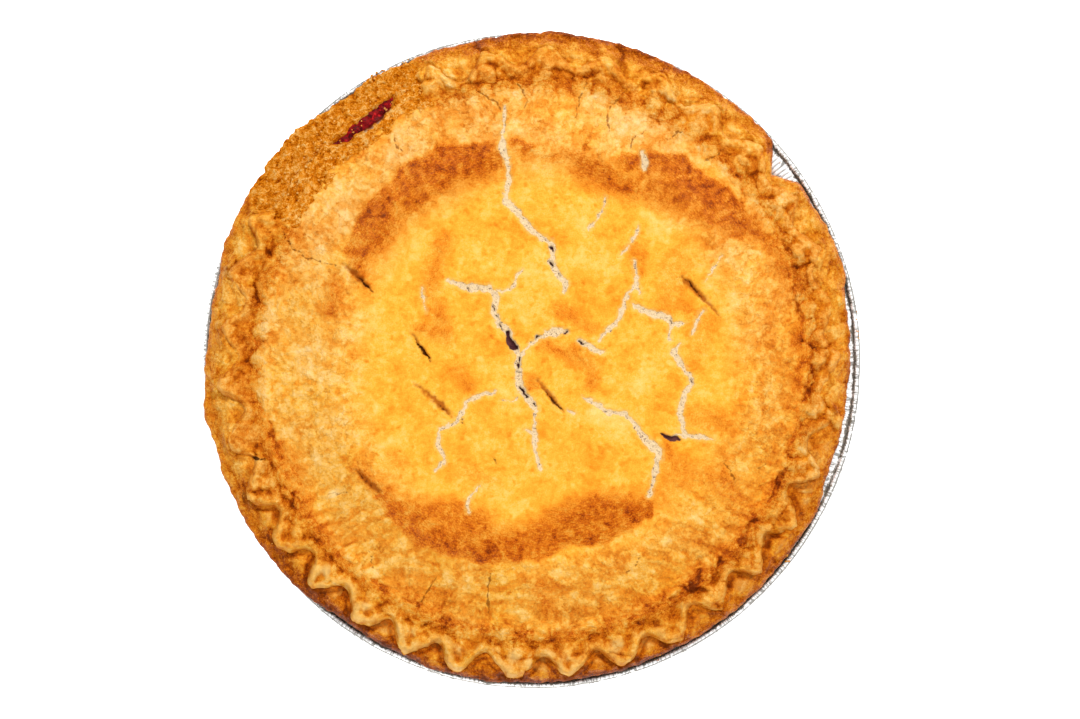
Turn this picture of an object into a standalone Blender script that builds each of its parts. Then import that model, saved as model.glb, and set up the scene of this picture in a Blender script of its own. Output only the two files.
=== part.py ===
"""A whole baked cherry pie in the foil pan it was baked in.

Four solids, nested from the outside in: the foil pan, the bottom crust that lines it, the
cherry filling, and the top crust that covers the filling and is crimped down on the bottom
crust's flange. Metres, +Z up, origin at the centre of the pan's base on the table.
"""

import math

import bmesh
import bpy
from mathutils import Vector, noise

# ---- Foil pan: base, sloping wall, narrow flange and rolled bead -------------------------
FOIL = 0.00025
BASE_RADIUS = 0.0840
WALL_TOP_RADIUS = 0.1050
WALL_TOP_Z = 0.0280
FLANGE_Z = 0.0285
FLANGE_END_RADIUS = 0.1117
BEAD_RADIUS = 0.0012
BEAD_CENTRE_RADIUS = 0.1129
BEAD_CENTRE_Z = FLANGE_Z + 0.0003
BEAD_START, BEAD_TURN = 150.0, 300.0  # the foil curls over, out and under: degrees
BEAD_CORNERS = 6
BEAD_GAP = 0.0003  # from the bead's start back in to the flat of the flange
BASE_BEND = 0.0030  # the base starts to turn up this far inside its radius
BASE_BEND_Z = 0.0012
TOP_BEND = 0.0008  # width of the bend from wall to flange
PAN_SEGMENTS = 72

# ---- Pastry and filling ------------------------------------------------------------------
GAP = 0.0003  # left between pieces that touch
FLANGE_CLEARANCE = 0.0005  # left between the two flanges, whose segments differ
BOTTOM_CRUST = 0.0030  # thickness of the pastry that lines the pan
LID_CRUST = 0.0032  # thickness of the pastry that covers the filling
FLANGE_TOP_Z = 0.0330  # upper face of the bottom crust's flange
SEAT_Z = FLANGE_TOP_Z + GAP  # lower face of the top crust where it sits on the flange
FLANGE_FALL = 0.0009  # how far that face falls to its edge
FLANGE_RADIUS = 0.1116  # mean outer radius of that flange
SHIFT = 0.0021  # how far the pastry sits off the pan's centre
SHIFT_ANGLE = 140.0  # towards this side, in degrees
OVERHANG = 0.0014  # lift of the flange's edge where it passes over the bead
OVERHANG_START, OVERHANG_END = 0.1106, 0.1115
HEEL_INNER_Z, HEEL_OUTER_Z = 0.0055, 0.0014  # where the lining turns up into the wall
HEEL = 0.0030  # width of that turn
WALL_SLACK = 0.0009  # the lining stands this far off the foil's wall
EDGE_TOP, EDGE_TOP_INNER = 0.0009, 0.0034  # insets of the flange's rounded upper edge
EDGE_UNDER = 0.0003  # inset of its lower edge
EDGE_HALF = 0.0011  # the edge is widest this far above its lower face
SHOULDER_Z = 0.0300  # the wall's inner face leans back above this height
SHOULDER_BACK = 0.0012
FILLING_CROWN = 0.0014  # the filling stands this far above that height at its edge

# ---- Dome of the top crust: a sunken middle, a raised shoulder, a slope to the crimps -----
DOME_CENTRE = Vector((0.0050, 0.0010))
SHOULDER_RADIUS = 0.071
SHOULDER_WIDTH = 0.009
SHOULDER_LIFT = 0.0010
SLOPE_START, SLOPE_END = 0.069, 0.100
MOAT_Z = 0.0350  # where the dome's slope runs out, just inside the crimps
SEAT_WIDTH = 0.0012  # at the least, on the bottom crust's flange
DOME_RISE = 0.0072
SAG = 0.0016  # the middle lies this much lower than the shoulder
SWELL, SWELL_SIZE = 0.0008, 0.030  # slow unevenness of the lid: height and width
DOME_RADII_COARSE = (0.018, 0.034)  # where its upper face is worked out
DOME_RADII = (0.048, 0.059, 0.067, 0.073, 0.080, 0.087)
CRIMP_INSETS = (0.0090, 0.0055, 0.0028, 0.0013, 0.0004)  # and inside its crimped outline
LID_UNDER_RADII = (0.028, 0.048, 0.062, 0.073, 0.084, 0.095)  # where its lower face is worked out

# ---- Crimped edge: pleats pressed outwards between finger marks ---------------------------
CRIMPS = 34
FIRST_CRIMP = 190.0  # angle of crimp mark 0, in degrees
CRIMP_DRIFT, DRIFT_PHASE = 2.4, 2.2  # the hand spaced them unevenly: degrees, crimps
CRIMP_DEPTH = 0.0094  # from the tip of a pleat in to the mark beside it
SHALLOW = (40.0, 62.0)  # on this side they were pressed less deep: middle, half width
SHALLOW_SHARE, SHALLOW_FADE = 0.30, 30.0
TIP_MARGIN = 0.0016  # from the flange's edge in to the tips of the pleats
CREST_Z = 0.0365
CREST_UNEVEN = 0.0009
CREST_INSET = 0.0028  # the crest runs this far inside the crimped outline
CREST_WIDTH = 0.0055

# ---- What baking and handling did: (middle angle in degrees, half width in degrees) -------
BREAK = (131.0, 21.0)  # the crimp is broken off here
BREAK_FADE = 3.0
BREAK_RADIUS = 0.1046  # outline of the top crust along the break
BREAK_Z = 0.0346
BREAK_WEAR = 0.0006  # the flange is crumbled this much lower there
SLOT = (125.5, 9.0)  # within the break, a slot open to the filling
SLOT_DEPTH = 0.0062  # how far the top crust's outline draws back for it
SLOT_OUTER = 0.1034  # radius of its outer side in the middle
SLOT_SLANT = 0.00022  # its outer side comes in by this much for each degree
NOTCH_CRIMP = 20  # a pressed mark that went through, so the foil shows
NOTCH_DEPTH = 0.0062
NOTCH_HALF_WIDTH = 4.3
FLAP = (190.0, 4.6)  # a tongue of bottom crust that hangs over the pan's bead
FLAP_LENGTH = 0.0027
RAGGED = 0.0005  # unevenness of the flange's edge

# ---- Knife cuts in the lid, nearly closed in baking: middle x and y, length, direction ------
VENTS = (
    (-0.0598, 0.0290, 0.0115, -49.0),
    (-0.0384, 0.0047, 0.0101, -59.0),
    (-0.0332, -0.0130, 0.0127, -47.0),
    (0.0589, 0.0215, 0.0181, -47.5),
    (0.0041, -0.0106, 0.0180, -39.0),
)
VENT_WIDTH = 0.0014
VENT_DEPTH = 0.0022
VENT_TOP, VENT_KEEL = 1.3, 0.7  # lengths of the wedge above and below, as shares of the cut's

FINE, PLAIN, COARSE = 4, 2, 1  # points for each crimp in the loops of a solid


def smooth(low, high, x):
    """0 below low, 1 above high, with a smooth step between."""
    t = min(1.0, max(0.0, (x - low) / (high - low)))
    return t * t * (3.0 - 2.0 * t)


def angle_off(angle, middle):
    """Degrees from middle to angle, between -180 and 180."""
    return (angle - middle + 180.0) % 360.0 - 180.0


def crimp_angle(crimp):
    """Angle in degrees of a place counted in crimps; whole numbers are the pressed marks."""
    turn = 2.0 * math.pi * (crimp + DRIFT_PHASE) / CRIMPS
    return FIRST_CRIMP + 360.0 * crimp / CRIMPS - CRIMP_DRIFT * (1.0 - math.cos(turn))


def polar(radius, angle, z):
    return Vector((radius * math.cos(math.radians(angle)), radius * math.sin(math.radians(angle)), z))


def rough(angle, radius, size, seed):
    """Noise from -1 to 1 at a place of the pie, with features about size wide."""
    place = polar(radius, angle, 0.0) / size
    return noise.noise(place + Vector((0.0, 0.0, 7.3 * seed)))


def within(angle, span, fade):
    """1 inside a span of angles, 0 outside it, fading over fade degrees."""
    middle, half = span
    return 1.0 - smooth(half - fade, half, abs(angle_off(angle, middle)))


def notch(angle):
    """How far the notch cuts in at this angle."""
    off = abs(angle_off(angle, crimp_angle(NOTCH_CRIMP)))
    return NOTCH_DEPTH * max(0.0, 1.0 - off / NOTCH_HALF_WIDTH)


# ---- Outlines seen from above -------------------------------------------------------------
def flange_radius(angle):
    """Outer edge of the bottom crust."""
    shift = SHIFT * math.cos(math.radians(angle - SHIFT_ANGLE))
    flap = FLAP_LENGTH * within(angle, FLAP, FLAP[1])
    ragged = RAGGED * rough(angle, FLANGE_RADIUS, 0.012, 1)
    return FLANGE_RADIUS + shift + flap + ragged - notch(angle)


def pleat_radius(crimp):
    """The zigzag outline that crimping gives the top crust."""
    angle = crimp_angle(crimp)
    shift = SHIFT * math.cos(math.radians(angle - SHIFT_ANGLE))
    inwards = abs(2.0 * (crimp % 1.0) - 1.0)
    tip = FLANGE_RADIUS + shift - TIP_MARGIN + 2.0 * RAGGED * rough(angle, FLANGE_RADIUS, 0.020, 2)
    depth = CRIMP_DEPTH * (1.0 - SHALLOW_SHARE * within(angle, SHALLOW, SHALLOW_FADE))
    return tip - depth * inwards


def slot_outer(angle):
    """Outer side of the slot, where the bottom crust's wall ends."""
    closed = WALL_TOP_RADIUS - BOTTOM_CRUST
    opened = SLOT_OUTER - SLOT_SLANT * angle_off(angle, SLOT[0])
    return closed + (opened - closed) * within(angle, SLOT, BREAK_FADE)


def lid_radius(crimp):
    """Outer edge of the top crust: the pleats, or the torn edge where they broke off."""
    angle = crimp_angle(crimp)
    slot = SLOT_DEPTH * within(angle, SLOT, SLOT[1])
    torn = BREAK_RADIUS - slot + RAGGED * rough(angle, FLANGE_RADIUS, 0.008, 3)
    broken = within(angle, BREAK, BREAK_FADE)
    return pleat_radius(crimp) * (1.0 - broken) + torn * broken


# ---- Heights ------------------------------------------------------------------------------
def dome_z(radius, angle):
    """Upper face of the lid without its crimps."""
    place = polar(radius, angle, 0.0)
    r = (place.xy - DOME_CENTRE).length
    rise = DOME_RISE * (1.0 - smooth(SLOPE_START, SLOPE_END, r))
    shoulder = SHOULDER_LIFT * math.exp(-(((r - SHOULDER_RADIUS) / SHOULDER_WIDTH) ** 2))
    sag = SAG * (1.0 - smooth(0.0, SHOULDER_RADIUS, r))
    swell = SWELL * rough(angle, radius, SWELL_SIZE, 4)
    return MOAT_Z + rise + shoulder - sag + swell


def lid_top_z(crimp, inset):
    """Upper face of the lid at inset metres inside its outline: up the rounded outer side of
    the crimps, over their crest and down into the dome's slope."""
    angle = crimp_angle(crimp)
    crest = CREST_Z + CREST_UNEVEN * rough(angle, FLANGE_RADIUS, 0.015, 5)
    crest += (BREAK_Z - crest) * within(angle, BREAK, BREAK_FADE)
    if inset < CREST_INSET:
        rounded = math.sqrt(1.0 - (1.0 - inset / CREST_INSET) ** 2)
        return SEAT_Z + (crest - SEAT_Z) * rounded
    base = dome_z(lid_radius(crimp) - inset, angle)
    near = math.exp(-(((inset - CREST_INSET) / CREST_WIDTH) ** 2))
    return base + (crest - base) * near


def lid_under_z(radius, angle):
    """Lower face of the lid, which the filling carries as far as the bottom crust's flange."""
    return dome_z(radius, angle) - LID_CRUST


def flange_under_z(radius):
    """Lower face of the flange: on the pan's flange, then up over its bead."""
    rise = (radius - OVERHANG_START) / (OVERHANG_END - OVERHANG_START)
    return FLANGE_Z + FLANGE_CLEARANCE + OVERHANG * min(1.0, max(0.0, rise))


def flange_top_z(radius, angle):
    """Upper face of the flange: it falls to its edge, and is crumbled lower along the break."""
    slope = FLANGE_FALL * smooth(WALL_TOP_RADIUS, FLANGE_RADIUS + SHIFT, radius)
    return FLANGE_TOP_Z - slope - BREAK_WEAR * within(angle, BREAK, BREAK_FADE)


# ---- Solids -------------------------------------------------------------------------------
def loop(points_each, radius, z):
    """A loop round the pie with some points for each crimp. radius and z are numbers, or
    functions: radius of the place in crimps, z of (place in crimps, radius)."""
    found = []
    for i in range(CRIMPS * points_each):
        crimp = i / points_each
        r = radius(crimp) if callable(radius) else radius
        height = z(crimp, r) if callable(z) else z
        found.append(polar(r, crimp_angle(crimp), height))
    return found


def stitch(bm, first, second):
    """Faces between two loops. One may have a whole number of times the other's points."""
    if len(first) > len(second):
        share = len(first) // len(second)
        for i in range(len(first)):
            a, b = first[i], first[(i + 1) % len(first)]
            here, there = i // share, ((i + 1) // share) % len(second)
            bm.faces.new([a, second[here], b])
            if here != there:
                bm.faces.new([b, second[here], second[there]])
        return
    share = len(second) // len(first)
    for i in range(len(second)):
        a, b = second[i], second[(i + 1) % len(second)]
        here, there = i // share, ((i + 1) // share) % len(first)
        bm.faces.new([first[here], a, b])
        if here != there:
            bm.faces.new([first[here], b, first[there]])


def solid(name, loops, material):
    """A closed solid from loops that run from a point on its upper side, out and round its
    section, to a point on its under side."""
    bm = bmesh.new()
    rings = [[bm.verts.new(point) for point in points] for points in loops]
    for first, second in zip(rings, rings[1:]):
        stitch(bm, first, second)
    mesh = bpy.data.meshes.new(name)
    bm.to_mesh(mesh)
    bm.free()
    mesh.shade_smooth()
    mesh.set_sharp_from_angle(angle=math.radians(40.0))
    mesh.materials.append(material)
    made = bpy.data.objects.new(name, mesh)
    bpy.context.scene.collection.objects.link(made)
    return made


def surface(name, colour, roughness, metallic=0.0):
    """A Principled material."""
    material = bpy.data.materials.new(name)
    material.use_nodes = True
    shader = material.node_tree.nodes["Principled BSDF"]
    shader.inputs["Base Color"].default_value = (*colour, 1.0)
    shader.inputs["Roughness"].default_value = roughness
    shader.inputs["Metallic"].default_value = metallic
    return material


def round_loop(radius, z):
    """A true circle with the pan's number of segments."""
    return [polar(radius, 360.0 * i / PAN_SEGMENTS, z) for i in range(PAN_SEGMENTS)]


def foil_pan():
    """Foil shell with a flat base, a sloping wall, a narrow flange and a rolled bead."""
    slant = math.atan2(WALL_TOP_Z, WALL_TOP_RADIUS - BASE_RADIUS)
    wall_out = FOIL / math.sin(slant)
    flange_start = WALL_TOP_RADIUS + TOP_BEND
    flange_end = FLANGE_END_RADIUS - BEAD_GAP
    loops = [
        [Vector((0.0, 0.0, FOIL))],
        round_loop(BASE_RADIUS - BASE_BEND, FOIL),
        round_loop(BASE_RADIUS, BASE_BEND_Z),
        round_loop(WALL_TOP_RADIUS, WALL_TOP_Z),
        round_loop(flange_start, FLANGE_Z),
        round_loop(flange_end, FLANGE_Z),
    ]
    for i in range(BEAD_CORNERS + 1):
        turn = math.radians(BEAD_START - BEAD_TURN * i / BEAD_CORNERS)
        radius = BEAD_CENTRE_RADIUS + BEAD_RADIUS * math.cos(turn)
        loops.append(round_loop(radius, BEAD_CENTRE_Z + BEAD_RADIUS * math.sin(turn)))
    loops += [
        round_loop(flange_end, FLANGE_Z - FOIL),
        round_loop(flange_start + FOIL, FLANGE_Z - FOIL),
        round_loop(WALL_TOP_RADIUS + wall_out, WALL_TOP_Z - FOIL),
        round_loop(BASE_RADIUS + wall_out, BASE_BEND_Z - FOIL),
        round_loop(BASE_RADIUS - BASE_BEND + wall_out, 0.0),
        [Vector((0.0, 0.0, 0.0))],
    ]
    return solid("foil_pan", loops, surface("foil", (0.78, 0.77, 0.75), 0.28, 1.0))


def bottom_crust():
    """Pastry that lines the pan and spreads over its flange."""

    def wall_top(crimp):
        return slot_outer(crimp_angle(crimp))

    def inset(distance):
        return lambda crimp: flange_radius(crimp_angle(crimp)) - distance

    def under(crimp, radius):
        return flange_under_z(radius)

    def top(crimp, radius):
        return flange_top_z(radius, crimp_angle(crimp))

    def edge(crimp, radius):
        return flange_under_z(radius) + EDGE_HALF

    def seat(crimp):
        return min(inset(3.0 * EDGE_UNDER)(crimp), OVERHANG_START)

    def lifted(crimp):
        return min(inset(2.0 * EDGE_UNDER)(crimp), OVERHANG_END)

    floor_z = FOIL + GAP
    inner_wall = WALL_TOP_RADIUS - BOTTOM_CRUST
    loops = [
        [Vector((0.0, 0.0, floor_z + BOTTOM_CRUST))],
        loop(COARSE, BASE_RADIUS - 2.0 * HEEL, floor_z + BOTTOM_CRUST),
        loop(PLAIN, BASE_RADIUS - HEEL, HEEL_INNER_Z),
        loop(PLAIN, inner_wall - SHOULDER_BACK, SHOULDER_Z),
        loop(PLAIN, wall_top, FLANGE_TOP_Z),
        loop(FINE, inset(EDGE_TOP_INNER), top),
        loop(FINE, inset(EDGE_TOP), top),
        loop(FINE, inset(0.0), edge),
        loop(FINE, inset(EDGE_UNDER), under),
        loop(FINE, lifted, under),
        loop(FINE, seat, under),
        loop(PLAIN, WALL_TOP_RADIUS - FLANGE_CLEARANCE, under),
        loop(PLAIN, BASE_RADIUS - WALL_SLACK, HEEL_OUTER_Z),
        loop(COARSE, BASE_RADIUS - HEEL, floor_z),
        [Vector((0.0, 0.0, floor_z))],
    ]
    return solid("bottom_crust", loops, surface("bottom_pastry", (0.68, 0.25, 0.03), 0.6))


def filling():
    """Cherry filling, which fills the pie from wall to wall and shows in the slot."""
    base_z = FOIL + 2.0 * GAP + BOTTOM_CRUST
    wall_top = WALL_TOP_RADIUS - BOTTOM_CRUST - 2.0 * GAP - SHOULDER_BACK
    lean = SHOULDER_BACK / (FLANGE_TOP_Z - SHOULDER_Z)

    def top(crimp, radius):
        return lid_under_z(radius, crimp_angle(crimp)) - GAP

    loops = [[Vector((0.0, 0.0, top(0.0, 0.0)))]]
    loops += [loop(PLAIN, radius, top) for radius in LID_UNDER_RADII]
    loops += [
        loop(PLAIN, wall_top + lean * FILLING_CROWN, SHOULDER_Z + FILLING_CROWN),
        loop(PLAIN, wall_top, SHOULDER_Z),
        loop(PLAIN, BASE_RADIUS - HEEL - 2.0 * GAP, HEEL_INNER_Z),
        loop(COARSE, BASE_RADIUS - 2.0 * HEEL - 2.0 * GAP, base_z),
        [Vector((0.0, 0.0, base_z))],
    ]
    return solid("filling", loops, surface("cherry", (0.20, 0.006, 0.012), 0.15))


def seat_inner(crimp):
    """Inner edge of the ring with which the lid sits on the bottom crust's flange."""
    return min(lid_radius(crimp) - SEAT_WIDTH, WALL_TOP_RADIUS - BOTTOM_CRUST - 2.0 * GAP)


def top_crust():
    """The lid: dome, slope and crimped edge, torn where the crimp broke off."""

    def dome(crimp, radius):
        return dome_z(radius, crimp_angle(crimp))

    def inset(distance):
        return lambda crimp: lid_radius(crimp) - distance

    def crimped(distance):
        return lambda crimp, radius: lid_top_z(crimp, distance)

    def under(crimp, radius):
        return lid_under_z(radius, crimp_angle(crimp))

    loops = [[Vector((0.0, 0.0, dome_z(0.0, 0.0)))]]
    loops += [loop(COARSE, radius, dome) for radius in DOME_RADII_COARSE]
    loops += [loop(PLAIN, radius, dome) for radius in DOME_RADII]
    loops += [loop(FINE, inset(distance), crimped(distance)) for distance in CRIMP_INSETS]
    loops.append(loop(FINE, inset(0.0), SEAT_Z))
    loops.append(loop(PLAIN, seat_inner, SEAT_Z))
    loops += [loop(PLAIN, radius, under) for radius in reversed(LID_UNDER_RADII)]
    loops.append([Vector((0.0, 0.0, lid_under_z(0.0, 0.0)))])
    return solid("top_crust", loops, surface("top_pastry", (0.86, 0.42, 0.06), 0.45))


def vent_cutter():
    """One boat-shaped wedge for each vent, all in one mesh."""
    bm = bmesh.new()
    for x, y, length, direction in VENTS:
        turn = math.radians(direction)
        along = Vector((math.cos(turn), math.sin(turn), 0.0)) * length / 2.0
        across = Vector((-math.sin(turn), math.cos(turn), 0.0)) * VENT_WIDTH
        middle = Vector((x, y, dome_z(math.hypot(x, y), math.degrees(math.atan2(y, x)))))
        up = Vector((0.0, 0.0, VENT_DEPTH))
        rim = (along * VENT_TOP, across, -along * VENT_TOP, -across)
        keel = (along * VENT_KEEL, -along * VENT_KEEL)
        points = [middle + up + side for side in rim] + [middle - up + side for side in keel]
        bmesh.ops.convex_hull(bm, input=[bm.verts.new(point) for point in points])
    mesh = bpy.data.meshes.new("vent_cutter")
    bm.to_mesh(mesh)
    bm.free()
    cutter = bpy.data.objects.new("vent_cutter", mesh)
    cutter.hide_render = True
    cutter.display_type = "WIRE"
    bpy.context.scene.collection.objects.link(cutter)
    return cutter


def clear_scene():
    for old in list(bpy.data.objects):
        bpy.data.objects.remove(old)


def main():
    clear_scene()
    foil_pan()
    bottom_crust()
    filling()
    lid = top_crust()
    vents = lid.modifiers.new("vents", "BOOLEAN")
    vents.operation = "DIFFERENCE"
    vents.solver = "EXACT"
    vents.object = vent_cutter()


main()
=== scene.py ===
"""The looks of a baked cherry pie in its foil pan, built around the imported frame.

Lengths are in millimetres and angles in degrees, counter-clockwise from +X as seen from above.
Heights and masks are worked out for whole arrays of places at once.
"""

import math

import bmesh
import bpy
import numpy as np
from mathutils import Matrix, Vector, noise


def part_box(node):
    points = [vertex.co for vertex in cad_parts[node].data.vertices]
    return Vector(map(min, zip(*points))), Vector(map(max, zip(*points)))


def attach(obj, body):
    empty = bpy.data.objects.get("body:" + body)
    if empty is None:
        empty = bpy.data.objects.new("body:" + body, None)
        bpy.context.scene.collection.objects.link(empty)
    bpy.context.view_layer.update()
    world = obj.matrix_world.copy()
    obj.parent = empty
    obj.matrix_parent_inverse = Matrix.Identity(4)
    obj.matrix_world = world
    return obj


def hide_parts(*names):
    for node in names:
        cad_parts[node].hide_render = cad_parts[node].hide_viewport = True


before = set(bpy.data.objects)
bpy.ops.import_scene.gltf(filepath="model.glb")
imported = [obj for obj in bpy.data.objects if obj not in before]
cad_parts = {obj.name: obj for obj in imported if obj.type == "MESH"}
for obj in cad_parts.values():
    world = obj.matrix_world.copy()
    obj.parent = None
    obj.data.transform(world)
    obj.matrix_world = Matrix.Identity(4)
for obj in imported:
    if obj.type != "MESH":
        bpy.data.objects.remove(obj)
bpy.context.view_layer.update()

MM = 0.001

# ---- Sizes shared with the solids ---------------------------------------------------------
PAN_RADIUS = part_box("foil_pan")[1].y / MM  # over the rolled bead
BEAD_RADIUS = 1.2
BEAD_CENTRE = PAN_RADIUS - BEAD_RADIUS
FLANGE_Z = 28.5
BEAD_Z = FLANGE_Z + 0.3
BASE_RADIUS = 84
WALL_TOP_RADIUS = 105
FOIL = 0.25
FLANGE_TOP_Z = 33
FLANGE_FALL = 0.9
FLANGE_RADIUS = 111.6
SHIFT, SHIFT_ANGLE = 2.1, 140
OVERHANG = 1.4
OVERHANG_START, OVERHANG_END = 110.6, 111.5
DOME_X, DOME_Y = 5, 1
SHOULDER_RADIUS, SHOULDER_WIDTH, SHOULDER_LIFT = 71, 9, 1
SLOPE_START, SLOPE_END = 69, 100
MOAT_Z, DOME_RISE, SAG = 35, 7.2, 1.6
SWELL, SWELL_SIZE = 0.8, 30
LID_CRUST = 3.2
CRIMPS = 34
FIRST_CRIMP, CRIMP_DRIFT, DRIFT_PHASE = 190, 2.4, 2.2
CRIMP_DEPTH = 9.4
SHALLOW, SHALLOW_SHARE, SHALLOW_FADE = (40, 62), 0.3, 30
TIP_MARGIN = 1.6
CREST_Z = 36.5
TORN_LAYER, TORN_Z = 0.45, 34.5  # layers of the torn crumb in the broken stretch, and its foot
SKIN_RADIUS = 94  # the glazed skin ends here in the broken stretch
BREAK, BREAK_FADE = (131, 21), 3
BREAK_RADIUS = 104.6
SLOT, SLOT_DEPTH = (125.5, 9), 6.2
SLOT_OUTER, SLOT_SLANT = 103.4, 0.22
NOTCH_CRIMP, NOTCH_DEPTH, NOTCH_HALF_WIDTH = 20, 6.2, 4.3
FLAP, FLAP_LENGTH = (190, 4.6), 2.7
RAGGED = 0.5
# Angles where the pastry's edge lies further out: middle, half width, and by how much.
SPREADS = ((20, 10, 1.7), (64, 26, 1.7), (104, 22, 0.9), (148, 17, 1.1), (190, 14, 1.2), (214, 18, 1.8),
           (332, 6, 1.8))
# Angles where the crimped edge is baked darker or lighter: middle, half width, and by how much.
RIM_TONES = ((28, 18, 0.1), (90, 16, 0.13), (70, 12, 0.06), (112, 10, -0.04), (176, 22, 0.05),
             (246, 30, -0.1), (282, 14, -0.03), (6, 16, 0.08), (332, 14, -0.02))

# ---- Stretches of the rim, as (middle, half width, fade) in degrees -----------------------
# Painted shade on the lid's slope at the lower right, which faces away from the lamp.
SLOPE_SHADE, DEEP_SLOPE_SHADE = (296, 96, 30), (308, 16, 10)
# The outline: where the pastry reaches further out or less far, and how its tips are shaped.
WIDE_EDGE, NARROW_EDGE, TRIMMED_EDGE = (288, 50, 16), (113, 22, 12), (172, 14, 8)
LONG_TIPS, ROUND_TIPS = (268, 50, 25), (238, 75, 25)
# Where the crimps are soft.
SOFT_RIGHT, SOFT_TOP, SOFT_LEFT, SOFT_CORNER = (8, 40, 20), (75, 48, 25), (182, 32, 18), (322, 30, 14)
# Tones of the crimps.
PALE_LEFT, PALE_TOP, LIGHT_KNUCKLES = (182, 40, 20), (58, 62, 20), (258, 48, 16)
TAN_BOTTOM, TAN_CORNER = (248, 36, 16), (305, 50, 16)
BAKED_TOP, CREASED_LEFT = (84, 30, 12), (182, 42, 16)
# Tones of the flange, with painted shadow under the crimps' tips and along their outer foot on the lower
# side.
SUNK_FLANGE, TIP_SHADOW, FOOT_SHADOW = (278, 80, 25), (250, 60, 20), (270, 90, 30)
BROWN_BOTTOM, BROWN_TOP = (254, 50, 18), (84, 24, 10)
DARK_LIP, LIGHT_FLANGE = (70, 40, 15), (180, 40, 15)
BENT_PAN = (168, 28, 20)  # the bead bulges outwards

# ---- How finely the surfaces are divided --------------------------------------------------
LID_EDGE = 90  # the lid piece ends and the crimped edge begins at this radius
FINE_RADIUS = 66  # rings are closer together inside this radius, where the cracks are
RINGS, FINE_RINGS = 156, 127
COLUMNS = 8 * RINGS

rng = np.random.default_rng(34)


# ---- Small tools --------------------------------------------------------------------------
def smooth(low, high, x):
    """0 at low, 1 at high, with a smooth step between. low may be the larger one."""
    t = np.clip((x - low) / (high - low), 0, 1)
    return t * t * (3 - 2 * t)


def bell(x, width):
    return np.exp(-((x / width) ** 2))


def ball(distance, radius):
    """Height of a round bump, from 1 in its middle to 0 at radius."""
    return np.sqrt(np.clip(1 - (distance / radius) ** 2, 0, 1))


def angle_off(angle, middle):
    return (angle - middle + 180) % 360 - 180


def within(angle, middle, half, fade):
    """1 inside the angles up to half away from middle, fading to 0 at their ends."""
    return 1 - smooth(half - fade, half, np.abs(angle_off(angle, middle)))


def spans_sum(angle, spans, fade):
    return sum(amount * within(angle, middle, half, fade) for middle, half, amount in spans)


def crimp_angle(crimp):
    """Angle of a place counted in crimps; whole numbers are the pressed marks."""
    turn = 2 * np.pi * (crimp + DRIFT_PHASE) / CRIMPS
    return FIRST_CRIMP + 360 * crimp / CRIMPS - CRIMP_DRIFT * (1 - np.cos(turn))


def on_circle(radius, angle):
    return radius * np.cos(np.radians(angle)), radius * np.sin(np.radians(angle))


def placed(radius, angle, z):
    """Points at these radii, angles and heights."""
    return np.stack(np.broadcast_arrays(*on_circle(radius, angle), z), axis=-1)


def solid_rough(x, y, size, seed):
    """The solids' own slow noise, point by point."""
    places = zip((np.ravel(x) / size).tolist(), (np.ravel(y) / size).tolist())
    return np.reshape([noise.noise((u, v, 7.3 * seed)) for u, v in places], np.shape(x))


def hashed(i, j, seed):
    """A number from 0 to 1 for each pair of whole numbers."""
    mixed = i.astype(np.int64) * 374761393 + j.astype(np.int64) * 668265263 + seed * 974634777
    mixed &= 0xFFFFFFFF
    mixed = ((mixed ^ (mixed >> 13)) * 1274126177) & 0xFFFFFFFF
    return ((mixed ^ (mixed >> 16)) & 0xFFFFFF) / float(0x1000000)


def wave(x, y, size, seed):
    """Gradient noise from about -1 to 1 with features about size wide."""
    u, v = x / size, y / size
    i, j = np.floor(u), np.floor(v)
    fu, fv = u - i, v - j

    def corner(di, dj):
        turn = 2 * np.pi * hashed(i + di, j + dj, seed)
        return np.cos(turn) * (fu - di) + np.sin(turn) * (fv - dj)

    su = fu * fu * fu * (fu * (6 * fu - 15) + 10)
    sv = fv * fv * fv * (fv * (6 * fv - 15) + 10)
    low = corner(0, 0) * (1 - su) + corner(1, 0) * su
    high = corner(0, 1) * (1 - su) + corner(1, 1) * su
    return 1.5 * (low * (1 - sv) + high * sv)


def rough(x, y, size, seed, octaves=3):
    """Layers of gradient noise, each half the size and half the height of the last."""
    return sum(0.5 ** layer * wave(x, y, size * 0.5 ** layer, seed + 31 * layer)
               for layer in range(octaves))


def warped(x, y, *layers):
    """The places moved about by noise; each layer is (reach, size, seed for x, seed for y)."""
    wx, wy = x, y
    for reach, size, x_seed, y_seed in layers:
        wx = wx + reach * wave(x, y, size, x_seed)
        wy = wy + reach * wave(x, y, size, y_seed)
    return wx, wy


def cells(x, y, size, seed):
    """Distances to the nearest and next nearest scattered point, and the nearest's number."""
    u, v = x / size, y / size
    i, j = np.floor(u), np.floor(v)
    first = np.full(np.shape(x), 9.0)
    second = first
    mark = np.zeros(np.shape(x))
    for di in (-1, 0, 1):
        for dj in (-1, 0, 1):
            a, b = i + di, j + dj
            d = np.hypot(a + 0.1 + 0.8 * hashed(a, b, seed) - u, b + 0.1 + 0.8 * hashed(a, b, seed + 1) - v)
            closer = d < first
            second = np.where(closer, first, np.minimum(second, d))
            mark = np.where(closer, hashed(a, b, seed + 2), mark)
            first = np.where(closer, d, first)
    return first * size, second * size, mark


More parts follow.
